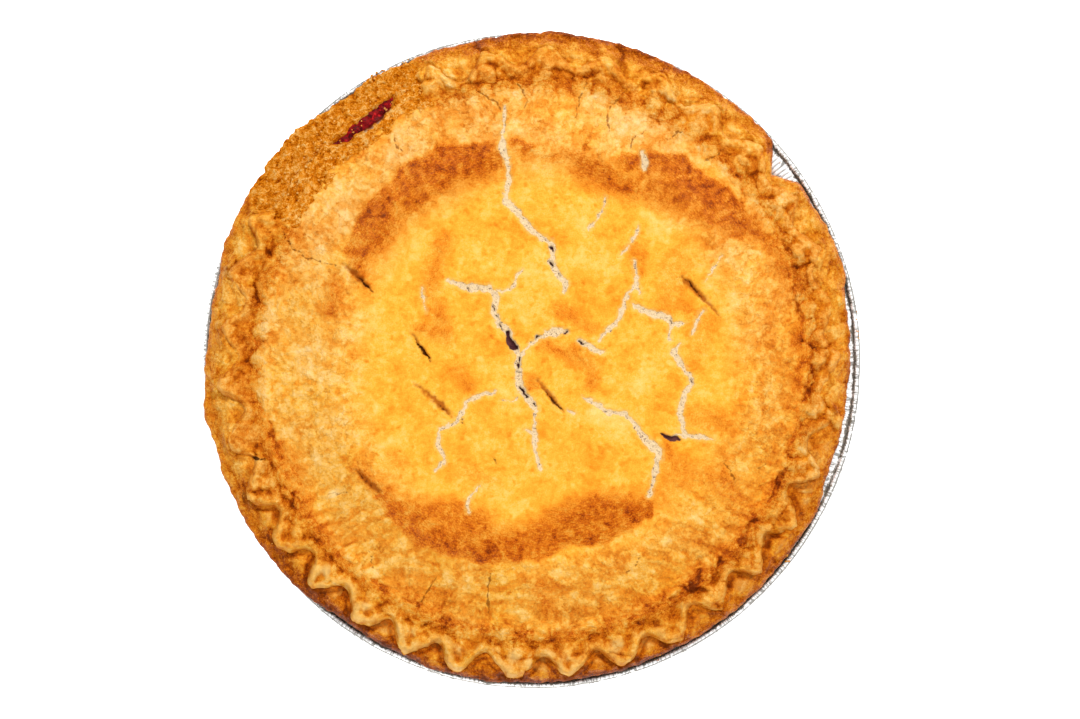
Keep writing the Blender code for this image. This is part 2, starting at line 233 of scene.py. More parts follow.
def near_segments(x, y, points, reach):
    """For each length of a stroke of points (x, y, half width): which places lie near it, their
    nearest places on it, and their distances to its edge, negative inside."""
    for (x0, y0, w0), (x1, y1, w1) in zip(points, points[1:]):
        pad = reach + max(w0, w1)
        near = (x > min(x0, x1) - pad) & (x < max(x0, x1) + pad)
        near &= (y > min(y0, y1) - pad) & (y < max(y0, y1) + pad)
        if near.any():
            px, py = x[near] - x0, y[near] - y0
            dx, dy = x1 - x0, y1 - y0
            t = np.clip((px * dx + py * dy) / (dx * dx + dy * dy), 0, 1)
            d = np.hypot(px - t * dx, py - t * dy) - (w0 + t * (w1 - w0))
            yield near, x0 + t * dx, y0 + t * dy, d


def stroke_distance(x, y, strokes, reach):
    """Distance to the edge of the nearest stroke, negative inside, reach where none is near."""
    best = np.full(np.shape(x), float(reach))
    for points in strokes:
        for near, _, _, d in near_segments(x, y, points, reach):
            best[near] = np.minimum(best[near], d)
    return best


def line(half, *points):
    """A stroke of even width that thins out at both ends."""
    last = len(points) - 1
    return [(x, y, half * (0.45 if i in (0, last) else 1)) for i, (x, y) in enumerate(points)]


def polar(half, *places):
    """The same through places given as (angle, radius)."""
    return line(half, *[on_circle(radius, angle) for angle, radius in places])


# ---- What shows on the lid ----------------------------------------------------------------
CRACKS = (
    line(0.25, (-9.5, 88), (-10, 82.5), (-10.5, 77.5)),
    line(1.15, (-10.5, 77.5), (-10.5, 72.5), (-8.5, 67.5)),
    line(0.8, (-8.5, 67), (-8.5, 60.5), (-9.5, 55), (-5.5, 51), (-0.5, 45), (2.5, 42.5), (6, 40.5),
         (7, 36.5), (6, 33.5), (9, 29.5), (11.5, 26), (10.5, 23.5)),
    line(0.95, (-29, 27.5), (-22.5, 25.2), (-15, 24.8), (-12.8, 22), (-13.5, 17.5), (-12, 13.5),
         (-8.5, 9.5), (-6, 4.5), (-5, 1.5), (-5, -3), (-5, -8), (-3, -11.5), (0, -15), (1.5, -17)),
    line(0.22, (-12.5, 24), (-10, 23.7), (-6.5, 25.5), (-5.5, 29), (-4, 31)),
    line(0.35, (-5, 1.5), (-2.5, 4), (1.5, 7.5)),
    line(1.25, (1.5, 7.6), (6.5, 10), (11.5, 10.2)),
    line(0.9, (15.5, 7), (20, 4.5), (23.5, 3)),
    line(0.5, (22.5, 7), (25, 10), (28, 12.5), (29.5, 14.5), (32, 22), (35.5, 26.5)),
    line(0.35, (36, 46), (35.5, 43.5), (33, 40), (30, 36)),
    line(0.5, (34.5, 34.5), (35.5, 31), (35.5, 26.5), (37, 23)),
    line(0.85, (34, 19.5), (38, 17), (42, 16), (46, 15), (47.5, 12.5), (52, 13)),
    line(0.5, (47.5, 12.5), (46.5, 9), (47, 7)),
    line(0.65, (50.5, 6), (48, 3), (50.5, -0.5), (54, -6), (54.5, -8), (52, -10.5), (50.5, -17),
         (52, -25.5), (57.5, -26), (61.5, -27)),
    line(0.3, (64.5, 36), (61.5, 31), (59, 27)),
    line(0.3, (58.5, 17.5), (56, 13), (54.5, 9)),
    line(0.7, (17, -12.5), (21, -14.5), (26.5, -18), (31.5, -18), (36, -23.5), (40, -29.5),
         (43.5, -31), (42, -37.5), (40, -46.5)),
    line(1.1, (36, -23.5), (38.5, -27), (43, -31), (42.5, -36)),
    line(0.45, (-12.5, -10.5), (-17, -11.5), (-23, -14), (-24, -17.5), (-27, -21.5), (-32, -23.5),
         (-32.5, -29), (-30, -34), (-33.5, -37.5)),
    line(0.5, (0.5, -18), (0.8, -22), (0, -27), (2.5, -37.5)),
    line(0.8, (-2, -23.5), (0.5, -25.5), (1, -27)),
    line(0.5, (-18, -42.5), (-22.5, -47.5), (-22, -52)),
    line(0.28, (-10.5, -13.5), (-7, -14), (-5, -12.5)),
    line(0.3, (25, 56), (23.5, 50.5), (19, 45)),
    line(1, (37.5, 71.5), (38.5, 68), (38, 66)),
    line(0.35, (46, -25.5), (52, -25.5)),
    line(0.6, (12, -17), (14.5, -18)),
    line(0.3, (-38, 25), (-37.5, 20), (-36.5, 17)),
)
HAIRLINES = (
    polar(0.2, (97, 81), (96.5, 84), (98, 90), (100.5, 93), (103, 100)),
    polar(0.18, (155, 91.5), (155.5, 85), (154, 75)),
    polar(0.2, (244.5, 94), (245.5, 87), (246, 79.5)),
    polar(0.16, (260.5, 90.5), (259, 82), (258.5, 74)),
    polar(0.14, (213, 84.5), (215.5, 78)),
    polar(0.18, (293, 80), (296, 79), (299, 76.5)),
    polar(0.2, (329, 81), (330.5, 78), (332, 74)),
    polar(0.18, (333.5, 84.5), (336, 88)),
    polar(0.16, (48, 98), (48.5, 94), (49.5, 90.5)),
    polar(0.2, (57, 95), (58, 92), (59, 89)),
    polar(0.15, (71, 99), (73.5, 90), (71.5, 83)),
    polar(0.15, (79, 98), (80, 91), (80, 84)),
    polar(0.18, (121.5, 91.5), (122.5, 88), (122, 85)),
    polar(0.14, (93, 96), (91.5, 91), (92, 86)),
    polar(0.14, (64, 88), (66, 84), (65, 79)),
    polar(0.14, (232, 90), (229, 86)),
)
# Where a crack is open down to the dark filling.
HOLES = (
    line(0.75, (6, 39.5), (7, 37.3)),
    line(0.65, (6, 34), (6.5, 33)),
    line(0.35, (8.5, 30), (9.5, 29)),
    line(0.6, (-11.5, 12.6), (-10.6, 11)),
    [(-8.8, 9.8, 0.6), (-8.4, 7.2, 1.2), (-6.3, 4.6, 1.1)],
    line(0.85, (-4.8, 0.6), (-5, -2.2)),
    line(0.45, (-5.7, -3.4), (-4.3, -3.8)),
    line(0.75, (-4.4, -9.2), (-2.2, -12.8)),
    line(0.4, (0, -14.6), (1, -15.2)),
    line(0.55, (1.2, 7.8), (2, 8.4)),
    line(0.65, (10.8, 9.3), (11.6, 10.4)),
    line(0.7, (16, 6.8), (17.2, 6)),
    [(44, -25.2, 0.4), (47.5, -26.6, 1.1), (50.5, -27, 0.35)],
    line(0.5, (-23, 24.8), (-21.8, 24)),
    line(0.4, (-14, 19), (-13.2, 17.6)),
    line(0.35, (-12.8, 16), (-12.2, 14.8)),
    line(0.35, (54, -6.3), (54.6, -7.6)),
    line(0.3, (-19, 24.4), (-18, 24.2)),
    line(0.3, (47.4, 13.6), (47.8, 12.4)),
    line(0.3, (-24.4, -19.8), (-24.1, -21)),
    line(0.3, (-4, -23.4), (-3.2, -24)),
)
# Knife cuts that have nearly closed again: brown smears, and the dark slits left in them.
SLASHES = (
    [(-66, 33.6, 0.2), (-61, 30, 0.9), (-57, 25.5, 0.9), (-55, 23.6, 0.2)],
    [(-42, 9.6, 0.2), (-38, 4.5, 0.7), (-35.2, -0.4, 0.2)],
    [(-41, -7.5, 0.2), (-36, -11.5, 0.7), (-31.5, -15.2, 1.3), (-27.5, -19.2, 0.4)],
    [(51, 29, 0.4), (54, 26, 1.3), (59, 21, 0.9), (64.5, 14.5, 0.2)],
    [(1.5, -6.5, 0.3), (5.5, -11.5, 0.9), (10.4, -17.5, 0.3)],
    [(-61, -37, 0.4), (-57, -41, 1.2), (-52.5, -45, 0.8)],
)
SLITS = (
    [(-60.5, 29.2, 0.1), (-57.5, 26, 0.55), (-55.2, 23.8, 0.2)],
    [(-41, 7.6, 0.1), (-38.2, 4.2, 0.65), (-35.4, -0.2, 0.3)],
    [(-33, -14.6, 0.05), (-31, -16.4, 0.25), (-29, -18.2, 0.05)],
    [(52, 28.4, 0.1), (54.5, 25.6, 0.5), (59, 20.6, 0.1)],
    [(3, -9, 0.05), (6, -12.6, 0.3), (9.8, -17, 0.25)],
    [(-14, -33, 0.1), (-12.6, -35, 0.3)],
    [(-60, -38.2, 0.1), (-57.5, -41, 0.35), (-55, -43, 0.1)],
    polar(0.45, (152.8, 97), (155, 91.8)),
    polar(0.6, (196.8, 109.5), (198.3, 106), (199.3, 102), (200.3, 98.3)),
)
# Folds and dark creases where the lid meets the crimps, as (angle, radius).
CREASES = (
    polar(0.55, (4, 92.8), (9, 93.8), (14, 93.2), (17, 94.5), (21, 97), (24, 96), (26, 95.2)),
    polar(0.4, (39.5, 98.4), (42, 99.4), (44.5, 98.7)),
    polar(0.6, (59.5, 100.8), (62, 101.7), (66, 101.5)),
    polar(0.7, (70.5, 97.7), (73, 100.5), (76, 102.5), (78, 101.2), (80.5, 99), (83, 100.8),
          (86, 101)),
    polar(0.5, (160, 99), (163, 99.8), (167, 99)),
    polar(0.4, (167, 105.5), (169, 106.5)),
    polar(0.6, (193, 93.4), (197, 94), (201, 93.6)),
    polar(0.45, (201, 97), (204, 97.6), (209, 98.4)),
    polar(0.6, (209, 95), (212, 93.5)),
    polar(0.35, (222, 97.5), (228, 98)),
    polar(0.35, (247, 99.8), (248.5, 97)),
    polar(0.6, (299, 95.6), (301, 94.9), (303, 95.9), (306, 97.7), (307.5, 100)),
    polar(0.45, (306.5, 96), (310.5, 89)),
    polar(0.45, (309, 99), (313.5, 93.5)),
    polar(0.6, (319, 96.3), (322, 93.9), (324, 93.9)),
    polar(0.6, (331, 94.8), (334, 94.3), (337, 95.2)),
    polar(0.4, (352, 94.5), (358, 96)),
    polar(0.4, (135, 104.8), (139, 107.5), (142, 110)),
)
# The three glossy browned arcs: strength, then points (x, y, half width).
ARCS = (
    (1, (-59.5, 29, 3), (-59.5, 38, 5), (-53, 47, 7), (-46, 55, 7.5), (-38, 62, 7), (-29, 66.5, 7.5),
     (-19, 69, 7), (-14, 69, 5)),
    (0.9, (-24, 73, 2), (-13, 74, 2)),
    (0.95, (-6.5, 73, 2.6), (-2, 72.5, 2.6)),
    (0.85, (18, 67, 4), (26, 62, 5), (34, 59, 4)),
    (0.94, (31, 69, 2.5), (38, 67, 4), (49, 66, 5), (57, 59, 6), (64, 53, 6), (70, 48, 4.5)),
    (0.95, (-60.5, -37.5, 1.4), (-53, -44, 2.6), (-47, -50, 4.2), (-40, -56, 5.6), (-30, -60, 6.4),
     (-20, -62, 6.4), (-8, -63, 6.4)),
    (0.8, (-40, -50, 3), (-28, -53, 4.5), (-18, -55, 4.5)),
    (0.85, (-10, -62.5, 6.5), (3, -60.5, 6.5), (12, -58, 6)),
    (1.05, (12, -56.5, 7), (21, -55, 8.5), (30, -52, 7.5), (37, -50, 4)),
)
# Other browned places.
BROWNED = (
    (0.5, (0, 72, 3), (10, 70, 3), (18, 68, 4)),
    (0.7, (70, 50, 4), (78, 44, 3), (86, 38, 3), (90, 28, 3)),
    (0.6, (30, 62, 5), (45, 58, 6), (60, 50, 5)),
    (0.5, (45, -30, 3), (50, -40, 6), (64, -41, 5), (75, -51, 5)),
    (0.45, (56, -20, 5), (63, -21, 5)),
    (0.85, (56, -77, 4.5), (62, -84, 4)),
    (0.65, (66, -70, 4), (77, -58, 3.5), (83, -45, 3.5)),
    (0.65, (-69, 26, 3.5), (-70, 18, 3)),
    (0.6, (-38, 12, 3), (-32, 10, 5), (-33, 18, 3)),
    (0.6, (-31, 41, 3), (-35, 30, 3), (-35, 22, 3)),
    (0.4, (50, 34, 5), (48, 26, 5)),
    (0.35, (56, 3, 5), (58, 14, 5)),
    (0.4, (40, -46, 5), (50, -44, 4)),
    (0.6, (-93, 33, 3.5), (-91, 25, 3.5)),
    (0.65, (-95, -25, 3), (-84, -36, 5), (-80, -54, 5), (-68, -69, 3)),
    (0.5, (-50, -80, 4), (-38, -84, 4.5)),
    (0.65, (5, -95, 3), (14, -99, 4)),
    (0.4, (3, -78, 3), (6, -88, 3)),
    (0.55, (24, -93, 3.5), (40, -86, 4.5)),
    (0.85, (14, 97, 4), (24, 99, 3.5)),
    (0.75, (33, 94, 3), (43, 90, 3)),
    (0.55, (-4, 99, 3), (6, 99, 3)),
    (0.35, (-18, 99, 3), (-12, 102, 3)),
    (0.5, (9, 17, 2.5), (20, 12, 2.5)),
    (0.7, (-1, -6, 2.2), (-0.5, -8, 2.5)),
    (0.6, (5, 5, 2.5), (13, 3, 3.5), (20, -1, 3), (20.5, -8, 2.5)),
    (0.4, (46, 20, 4), (53, 17, 3)),
    (0.35, (35, 38, 4), (38, 33, 3)),
    (0.4, (-26, -4, 3), (-23, -8, 3)),
    (0.35, (-24, -38, 3), (-14, -42, 3)),
    (0.45, (-48, -33, 2.5), (-45, -35, 2)),
    (0.4, (-84, 44, 4), (-80, 38, 3)),
    (0.5, (92, 14, 4), (94, 0, 4), (92, -14, 4)),
)
PALEST = (
    (0.9, (4, 66, 3), (5, 62, 3)),
    (0.8, (-46, 32, 4), (-38, 39, 4)),
    (0.7, (-17, -43, 4), (-12, -47, 3)),
    (0.8, (74, 30, 5), (70, 22, 4)),
    (0.9, (16, 84, 6), (26, 82, 6), (38, 84, 5)),
    (0.8, (56, 77, 3), (65, 68, 3)),
    (0.8, (39, -3, 4), (36, -8, 3)),
    (0.8, (21, -17, 4), (28, -24, 4)),
    (0.8, (46, 47, 4), (42, 52, 3)),
    (0.7, (11, 58, 4), (14, 50, 3)),
    (0.7, (-3, 20, 3), (0, 26, 3)),
    (0.6, (-50, 20, 5), (-54, 12, 4)),
    (0.6, (-80, 2, 5), (-76, -12, 6), (-66, -22, 5)),
    (0.6, (-40, 80, 5), (-60, 66, 5), (-70, 54, 5)),
    (0.9, (-87, -24, 2), (-84.5, -29.5, 2)),
)


# ---- Height of the lid and the masks that colour it ----------------------------------------
FAR_MASKS = ("crack", "hair", "hole", "slash", "slit")  # these hold distances, not shares


def dome_z(x, y):
    """The solids' dome: a sunken middle, a raised shoulder and a slope to the crimps."""
    r = np.hypot(x - DOME_X, y - DOME_Y)
    rise = DOME_RISE * (1 - smooth(SLOPE_START, SLOPE_END, r))
    shoulder = SHOULDER_LIFT * bell(r - SHOULDER_RADIUS, SHOULDER_WIDTH)
    sag = SAG * (1 - smooth(0, SHOULDER_RADIUS, r))
    return MOAT_Z + rise + shoulder - sag + SWELL * solid_rough(x, y, SWELL_SIZE, 4)


def patches(x, y, places, soft, soft_outside):
    """How strongly the patches mark each place, from 0 to a little over 1. A patch fades over
    soft, or over soft_outside on the side that faces away from the middle of the pie."""
    found = np.zeros(np.shape(x))
    reach = np.hypot(x - DOME_X, y - DOME_Y)
    for strength, *points in places:
        for near, line_x, line_y, d in near_segments(x, y, points, soft):
            outside = smooth(-1.5, 1.5, reach[near] - np.hypot(line_x - DOME_X, line_y - DOME_Y))
            fade = soft + (soft_outside - soft) * outside
            found[near] = np.maximum(found[near], strength * smooth(fade, -fade, d))
    return found


def crust_texture(x, y):
    """Relief in mm and the masks of the crust's own grain."""
    outer = smooth(56, 74, np.hypot(x - DOME_X, y - DOME_Y))
    top = smooth(-30, 70, y)
    bottom = smooth(-35, -75, y)
    wx, wy = warped(x, y, (1.6, 9, 11, 13), (0.8, 3.4, 12, 14))
    near, second, mark = cells(wx, wy, 4.4, 21)
    seam = smooth(1.2, 0, second - near) * (0.3 + 0.7 * smooth(0.2, 0.8, mark))
    blob, _, blob_mark = cells(wx + 40, wy, 3.3, 25)
    blister = smooth(0.4, 0.7, blob_mark) * smooth(1.6, 0.5, blob / (0.6 + 0.5 * blob_mark))
    fleck, _, fleck_mark = cells(wx, wy + 40, 2.6, 27)
    freckle = smooth(0.78, 0.86, fleck_mark) * smooth(0.95, 0.45, fleck)
    net = np.maximum(smooth(0.18, 0, np.abs(wave(wx, wy, 6.5, 47))),
                     smooth(0.15, 0, np.abs(wave(wx, wy, 3.6, 48))) * 0.7)
    stretched = wx * (1 - 0.4 * bottom)
    mid = rough(stretched, wy, 4.4, 43)
    small = rough(x, y, 2, 45, 2)
    flakes = smooth(-0.12, 0.12, rough(stretched, wy, 4.2, 53, 4)) - 0.5
    arc = patches(wx, wy, ARCS, 5.5, 1.2)
    brown = np.maximum(patches(wx, wy, BROWNED, 3.6, 3.6), arc)
    shiny = np.clip(brown, 0, 1)
    flaky = outer * (1 - 0.7 * shiny)
    bristle = rough(wx, wy, 2.8, 49)
    blotch = smooth(-0.25, 0.25, rough(wx, wy, 4.5, 52)) - 0.5

    around = np.degrees(np.arctan2(y, x))
    # Painted shade on the slope at the lower right.
    slope_shade = 0.06 * within(around, *SLOPE_SHADE) + 0.04 * within(around, *DEEP_SLOPE_SHADE)
    bake_and_shade = 0.385 + outer * (0.02 * bottom - 0.01 + 0.04 * smooth(20, 90, x) + 0.05 * top)
    bake_and_shade += slope_shade * smooth(80, 91, np.hypot(x, y)) + 0.12 * rough(stretched, wy, 13, 41)
    bake_and_shade += (0.075 + 0.035 * outer) * mid + (0.045 - 0.06 * outer) * small - 0.08 * blister
    bake_and_shade += 0.12 * freckle + outer * (0.05 * seam + (0.04 + 0.05 * bottom) * net)
    bake_and_shade -= (0.1 + 0.07 * bottom) * flaky * flakes + 0.04 * outer * smooth(-20, -80, x)
    bake_and_shade += brown * (0.32 + 0.14 * bristle + 0.09 * rough(wx, wy, 8, 50)) + arc * (0.02 + 0.08 * blotch)
    bake_and_shade -= 0.18 * patches(wx, wy, PALEST, 5, 5) * (0.8 + 0.4 * mid)

    z = 0.2 * rough(x, y, 12, 51) + (0.07 + 0.12 * outer) * mid + (0.06 + 0.08 * outer) * small
    z += (0.05 + 0.16 * outer * top) * ball(near, 3.6) + 0.09 * blister
    z += 0.22 * flaky * flakes - outer * (0.13 * seam + 0.11 * net)
    bumps = smooth(1.1, 0.1, cells(wx, wy, 1.7, 29)[0])
    z += shiny * (0.2 + 0.1 * bumps + 0.18 * bristle + 0.14 * small)
    peach = outer * (0.36 + 0.46 * top) * np.clip(0.8 + 0.6 * rough(x, y, 18, 71), 0, 1.2)
    return z, {"bake_and_shade": bake_and_shade, "peach": peach * (1 - 0.7 * shiny), "brown": brown, "flaky": flaky}


def lid_surface(x, y):
    """Height of the glazed crust at places of the pie, and its masks."""
    relief, masks = crust_texture(x, y)
    jx, jy = warped(x, y, (0.6, 2.2, 61, 63), (0.35, 0.9, 62, 64))
    crack = stroke_distance(jx, jy, CRACKS, 4) - 0.12 - 0.4 * wave(x, y, 3.2, 65)
    hair = stroke_distance(jx, jy, HAIRLINES, 3) - 0.12 * wave(x, y, 1.6, 66)
    hole, slash, slit = [stroke_distance(jx, jy, marks, 3) for marks in (HOLES, SLASHES, SLITS)]
    crease = stroke_distance(jx, jy, CREASES, 3) + 0.5 * wave(x, y, 2.6, 68)
    pitted = smooth(0.55, 0, cells(x, y, 1.1, 67)[0])
    z = dome_z(x, y) + relief
    z += 0.12 * bell(crack - 0.9, 0.7) - smooth(0.7, -0.5, crack) * (0.38 + 0.3 * pitted)
    z -= 0.24 * smooth(0.45, -0.15, hair) + 1.5 * smooth(0.35, -0.35, hole)
    z += 0.25 * bell(slash - 0.8, 0.7) - 0.35 * smooth(0.5, -0.6, slash)
    z -= 1.1 * smooth(0.3, -0.4, slit) + 0.9 * smooth(0.9, -0.5, crease)
    masks["bake_and_shade"] += 0.1 * smooth(2, 0.2, crease)
    masks["crease"] = 0.5 * smooth(0.6, -0.4, crease) * smooth(-0.5, 0.1, wave(x, y, 4.5, 69))
    masks.update(zip(FAR_MASKS, (crack, hair, hole, slash, slit)))
    masks.update(dict.fromkeys(("torn", "crumb", "tan", "stain", "side", "rim"), np.zeros(np.shape(x))))
    return z, masks


# ---- Outlines of the crimped edge and the flange, one value for each column ---------------
column_crimp = np.arange(COLUMNS) * CRIMPS / COLUMNS
column_angle = crimp_angle(column_crimp)
circle_x, circle_y = on_circle(FLANGE_RADIUS, column_angle)


def shifted(angle):
    """How far the pastry's edge lies outside FLANGE_RADIUS."""
    wide = 1.7 * within(angle, *WIDE_EDGE) - 1.5 * within(angle, *NARROW_EDGE)
    return SHIFT * np.cos(np.radians(angle - SHIFT_ANGLE)) + wide


def tip_at(angle):
    """Radius of the crimps' tips. At the bottom they reach almost to the pastry's edge."""
    return FLANGE_RADIUS + shifted(angle) - TIP_MARGIN + 1.2 * within(angle, *LONG_TIPS)


def soften(values, sigma):
    """Values round the pie, blurred over about sigma columns each way."""
    reach = np.arange(-int(4 * sigma), int(4 * sigma) + 1)
    weights = bell(reach, sigma * math.sqrt(2))
    return sum(w * np.roll(values, -k) for k, w in zip(reach, weights)) / weights.sum()


def zigzag():
    """The crimped outline, with each crimp a little unlike the next."""
    crimp = np.arange(2 * CRIMPS) / 2
    angle = crimp_angle(crimp)
    x, y = on_circle(FLANGE_RADIUS, angle)
    tip = tip_at(angle) + 2 * RAGGED * solid_rough(x, y, 20, 2)
    depth = CRIMP_DEPTH * (1 - SHALLOW_SHARE * within(angle, *SHALLOW, SHALLOW_FADE))
    valley = crimp % 1 == 0
    radius = np.where(valley, tip - depth, tip)
    radius += rng.normal(0, 0.55, len(radius)) * np.where(valley, 1, 0.6)
    place = crimp + rng.normal(0, 0.04, len(radius))
    bent = column_crimp + CRIMPS + 0.07 * wave(circle_x, circle_y, 9, 72)

    def along(values, chosen):
        wrapped = np.concatenate([place[chosen] + turn * CRIMPS for turn in range(3)])
        return np.interp(bent, wrapped, np.tile(values[chosen], 3))

    rise = along(np.where(valley, 0, 1), slice(None))
    round_tip = 0.35 + 0.65 * within(column_angle, *ROUND_TIPS)
    rise = rise + (np.sin(0.5 * np.pi * rise) - rise) * round_tip
    inner, outer = along(radius, valley), along(radius, ~valley)
    uneven = sum(share * wave(circle_x, circle_y, size, seed)
                 for share, size, seed in ((0.6, 6, 73), (0.4, 2.6, 75), (0.18, 1.3, 77)))
    return soften(inner + (outer - inner) * rise, 2.2) + uneven


def lid_outline():
    """Outer edge of the top crust: the crimps, or the torn edge where they broke off."""
    slot = 0.8 * SLOT_DEPTH * within(column_angle, *SLOT, 4.5)
    torn = BREAK_RADIUS - slot + 0.9 * rough(circle_x, circle_y, 5, 81)
    torn += RAGGED * solid_rough(circle_x, circle_y, 8, 3)
    broken = within(column_angle, *BREAK, BREAK_FADE)
    return zigzag() * (1 - broken) + torn * broken


def flange_outline():
    """Outer edge of the bottom crust."""
    off = np.abs(angle_off(column_angle, crimp_angle(NOTCH_CRIMP)))
    notch = NOTCH_DEPTH * np.maximum(0, 1 - off / NOTCH_HALF_WIDTH)
    on_flap = within(column_angle, *FLAP, FLAP[1])
    ragged = RAGGED * solid_rough(circle_x, circle_y, 12, 1) + 0.45 * rough(circle_x, circle_y, 3.5, 83)
    ragged -= 0.5 * within(column_angle, *TRIMMED_EDGE)
    ragged += within(column_angle, *BREAK, 5) * (0.8 * rough(circle_x, circle_y, 2.6, 85) - 0.1)
    spread = spans_sum(column_angle, SPREADS, 6) * (1 - on_flap) + FLAP_LENGTH * on_flap
    return FLANGE_RADIUS + shifted(column_angle) + spread + ragged * (1 - smooth(0.3, 2, notch)) - notch


def slot_outline():
    """Inner edge of the bottom crust's flange, which the lid covers except at the slot."""
    opened = SLOT_OUTER - 0.5 * SLOT_SLANT * angle_off(column_angle, SLOT[0])
    opened += 0.7 * rough(circle_x, circle_y, 4, 87)
    covered = zigzag_edge - 3
    return covered + (opened - covered) * within(column_angle, SLOT[0], SLOT[1] + 1, 3)


zigzag_edge = lid_outline()
flange_edge = flange_outline()
edge_x, edge_y = on_circle(zigzag_edge, column_angle)
crimp_bulk = 1 + rng.normal(0, 0.25, CRIMPS)  # how far each knuckle swells
crimp_lift = rng.normal(0, 0.35, CRIMPS)
crimp_lean = rng.normal(0, 0.05, CRIMPS)


# ---- Surfaces of the crimped edge and the flange, on grids of rows by COLUMNS --------------
def edge_distance(x, y):
    """Distance to the crimped outline."""
    best = np.full(x.shape, 1e9)
    for step in range(-26, 27):
        ax, ay = np.roll(edge_x, -step), np.roll(edge_y, -step)
        dx, dy = np.roll(ax, -1) - ax, np.roll(ay, -1) - ay
        t = np.clip(((x - ax) * dx + (y - ay) * dy) / (dx * dx + dy * dy), 0, 1)
        best = np.minimum(best, np.hypot(x - ax - t * dx, y - ay - t * dy))
    return best


def crispness():
    """How sharply the crimps are marked: less at the top, on the right and on the left."""
    soft = 0.6 * within(column_angle, *SOFT_RIGHT) + 0.45 * within(column_angle, *SOFT_TOP)
    soft = np.minimum(soft, 0.65) + 0.45 * within(column_angle, *SOFT_LEFT)
    return 1 - soft - 0.25 * within(column_angle, *SOFT_CORNER)


def crumbly(x, y):
    """Relief in mm, from about 0 to 2, of crust that has broken open in torn layers."""
    bx, by = warped(x, y, (0.8, 2.4, 131, 133))
    small, _, small_mark = cells(bx, by, 1.5, 137)
    layers = (1.2 + 0.9 * rough(bx, by, 4, 139, 4)) / TORN_LAYER
    level = np.floor(layers)
    layers = TORN_LAYER * (level + smooth(0.25, 0.75, layers - level))
    return 0.7 * layers + 0.7 * ball(small, 1) * (0.3 + 0.7 * small_mark) + 0.22 * rough(x, y, 1.4, 140, 2)


def hollowness(z):
    """How far each point of a grid lies below the mean of its surroundings, in mm."""
    mean = z
    for step in (1, 2, 4, 5):
        padded = np.pad(mean, ((step, step), (0, 0)), mode="edge")
        mean = (padded[:-2 * step] + 2 * mean + padded[2 * step:]) / 4
        mean = (np.roll(mean, step, 1) + 2 * mean + np.roll(mean, -step, 1)) / 4
    return mean - z


def broken_share(x, y):
    """1 where the crimps have broken off, with a ragged end."""
    return within(column_angle + 1.6 * wave(x, y, 5, 91) + 0.7 * wave(x, y, 2, 92), *BREAK, BREAK_FADE)


def lumps(x, y):
    """Soft folds of dough: how far each place is up its lump, the folds between, a pebbled
    grain and each lump's own number."""
    wx, wy = warped(x, y, (1.1, 5, 94, 95), (0.3, 2.4, 88, 87))
    near, second, mark = cells(wx, wy, 6.4, 96)
    fold = smooth(1, 0, second - near) * smooth(0.25, 0.7, mark)
    return ball(near, 5.4) * (0.45 + 0.55 * mark), fold, smooth(1.3, 0.1, cells(wx, wy, 2, 97)[0]), mark


def crumb_tone(x, y, crumb, hollow):
    # Crumbs in hollows are darker: painted shade.
    return 0.57 + 0.08 * (crumb - 1) - 0.24 * hollow + 0.09 * rough(x, y, 6, 138, 2)


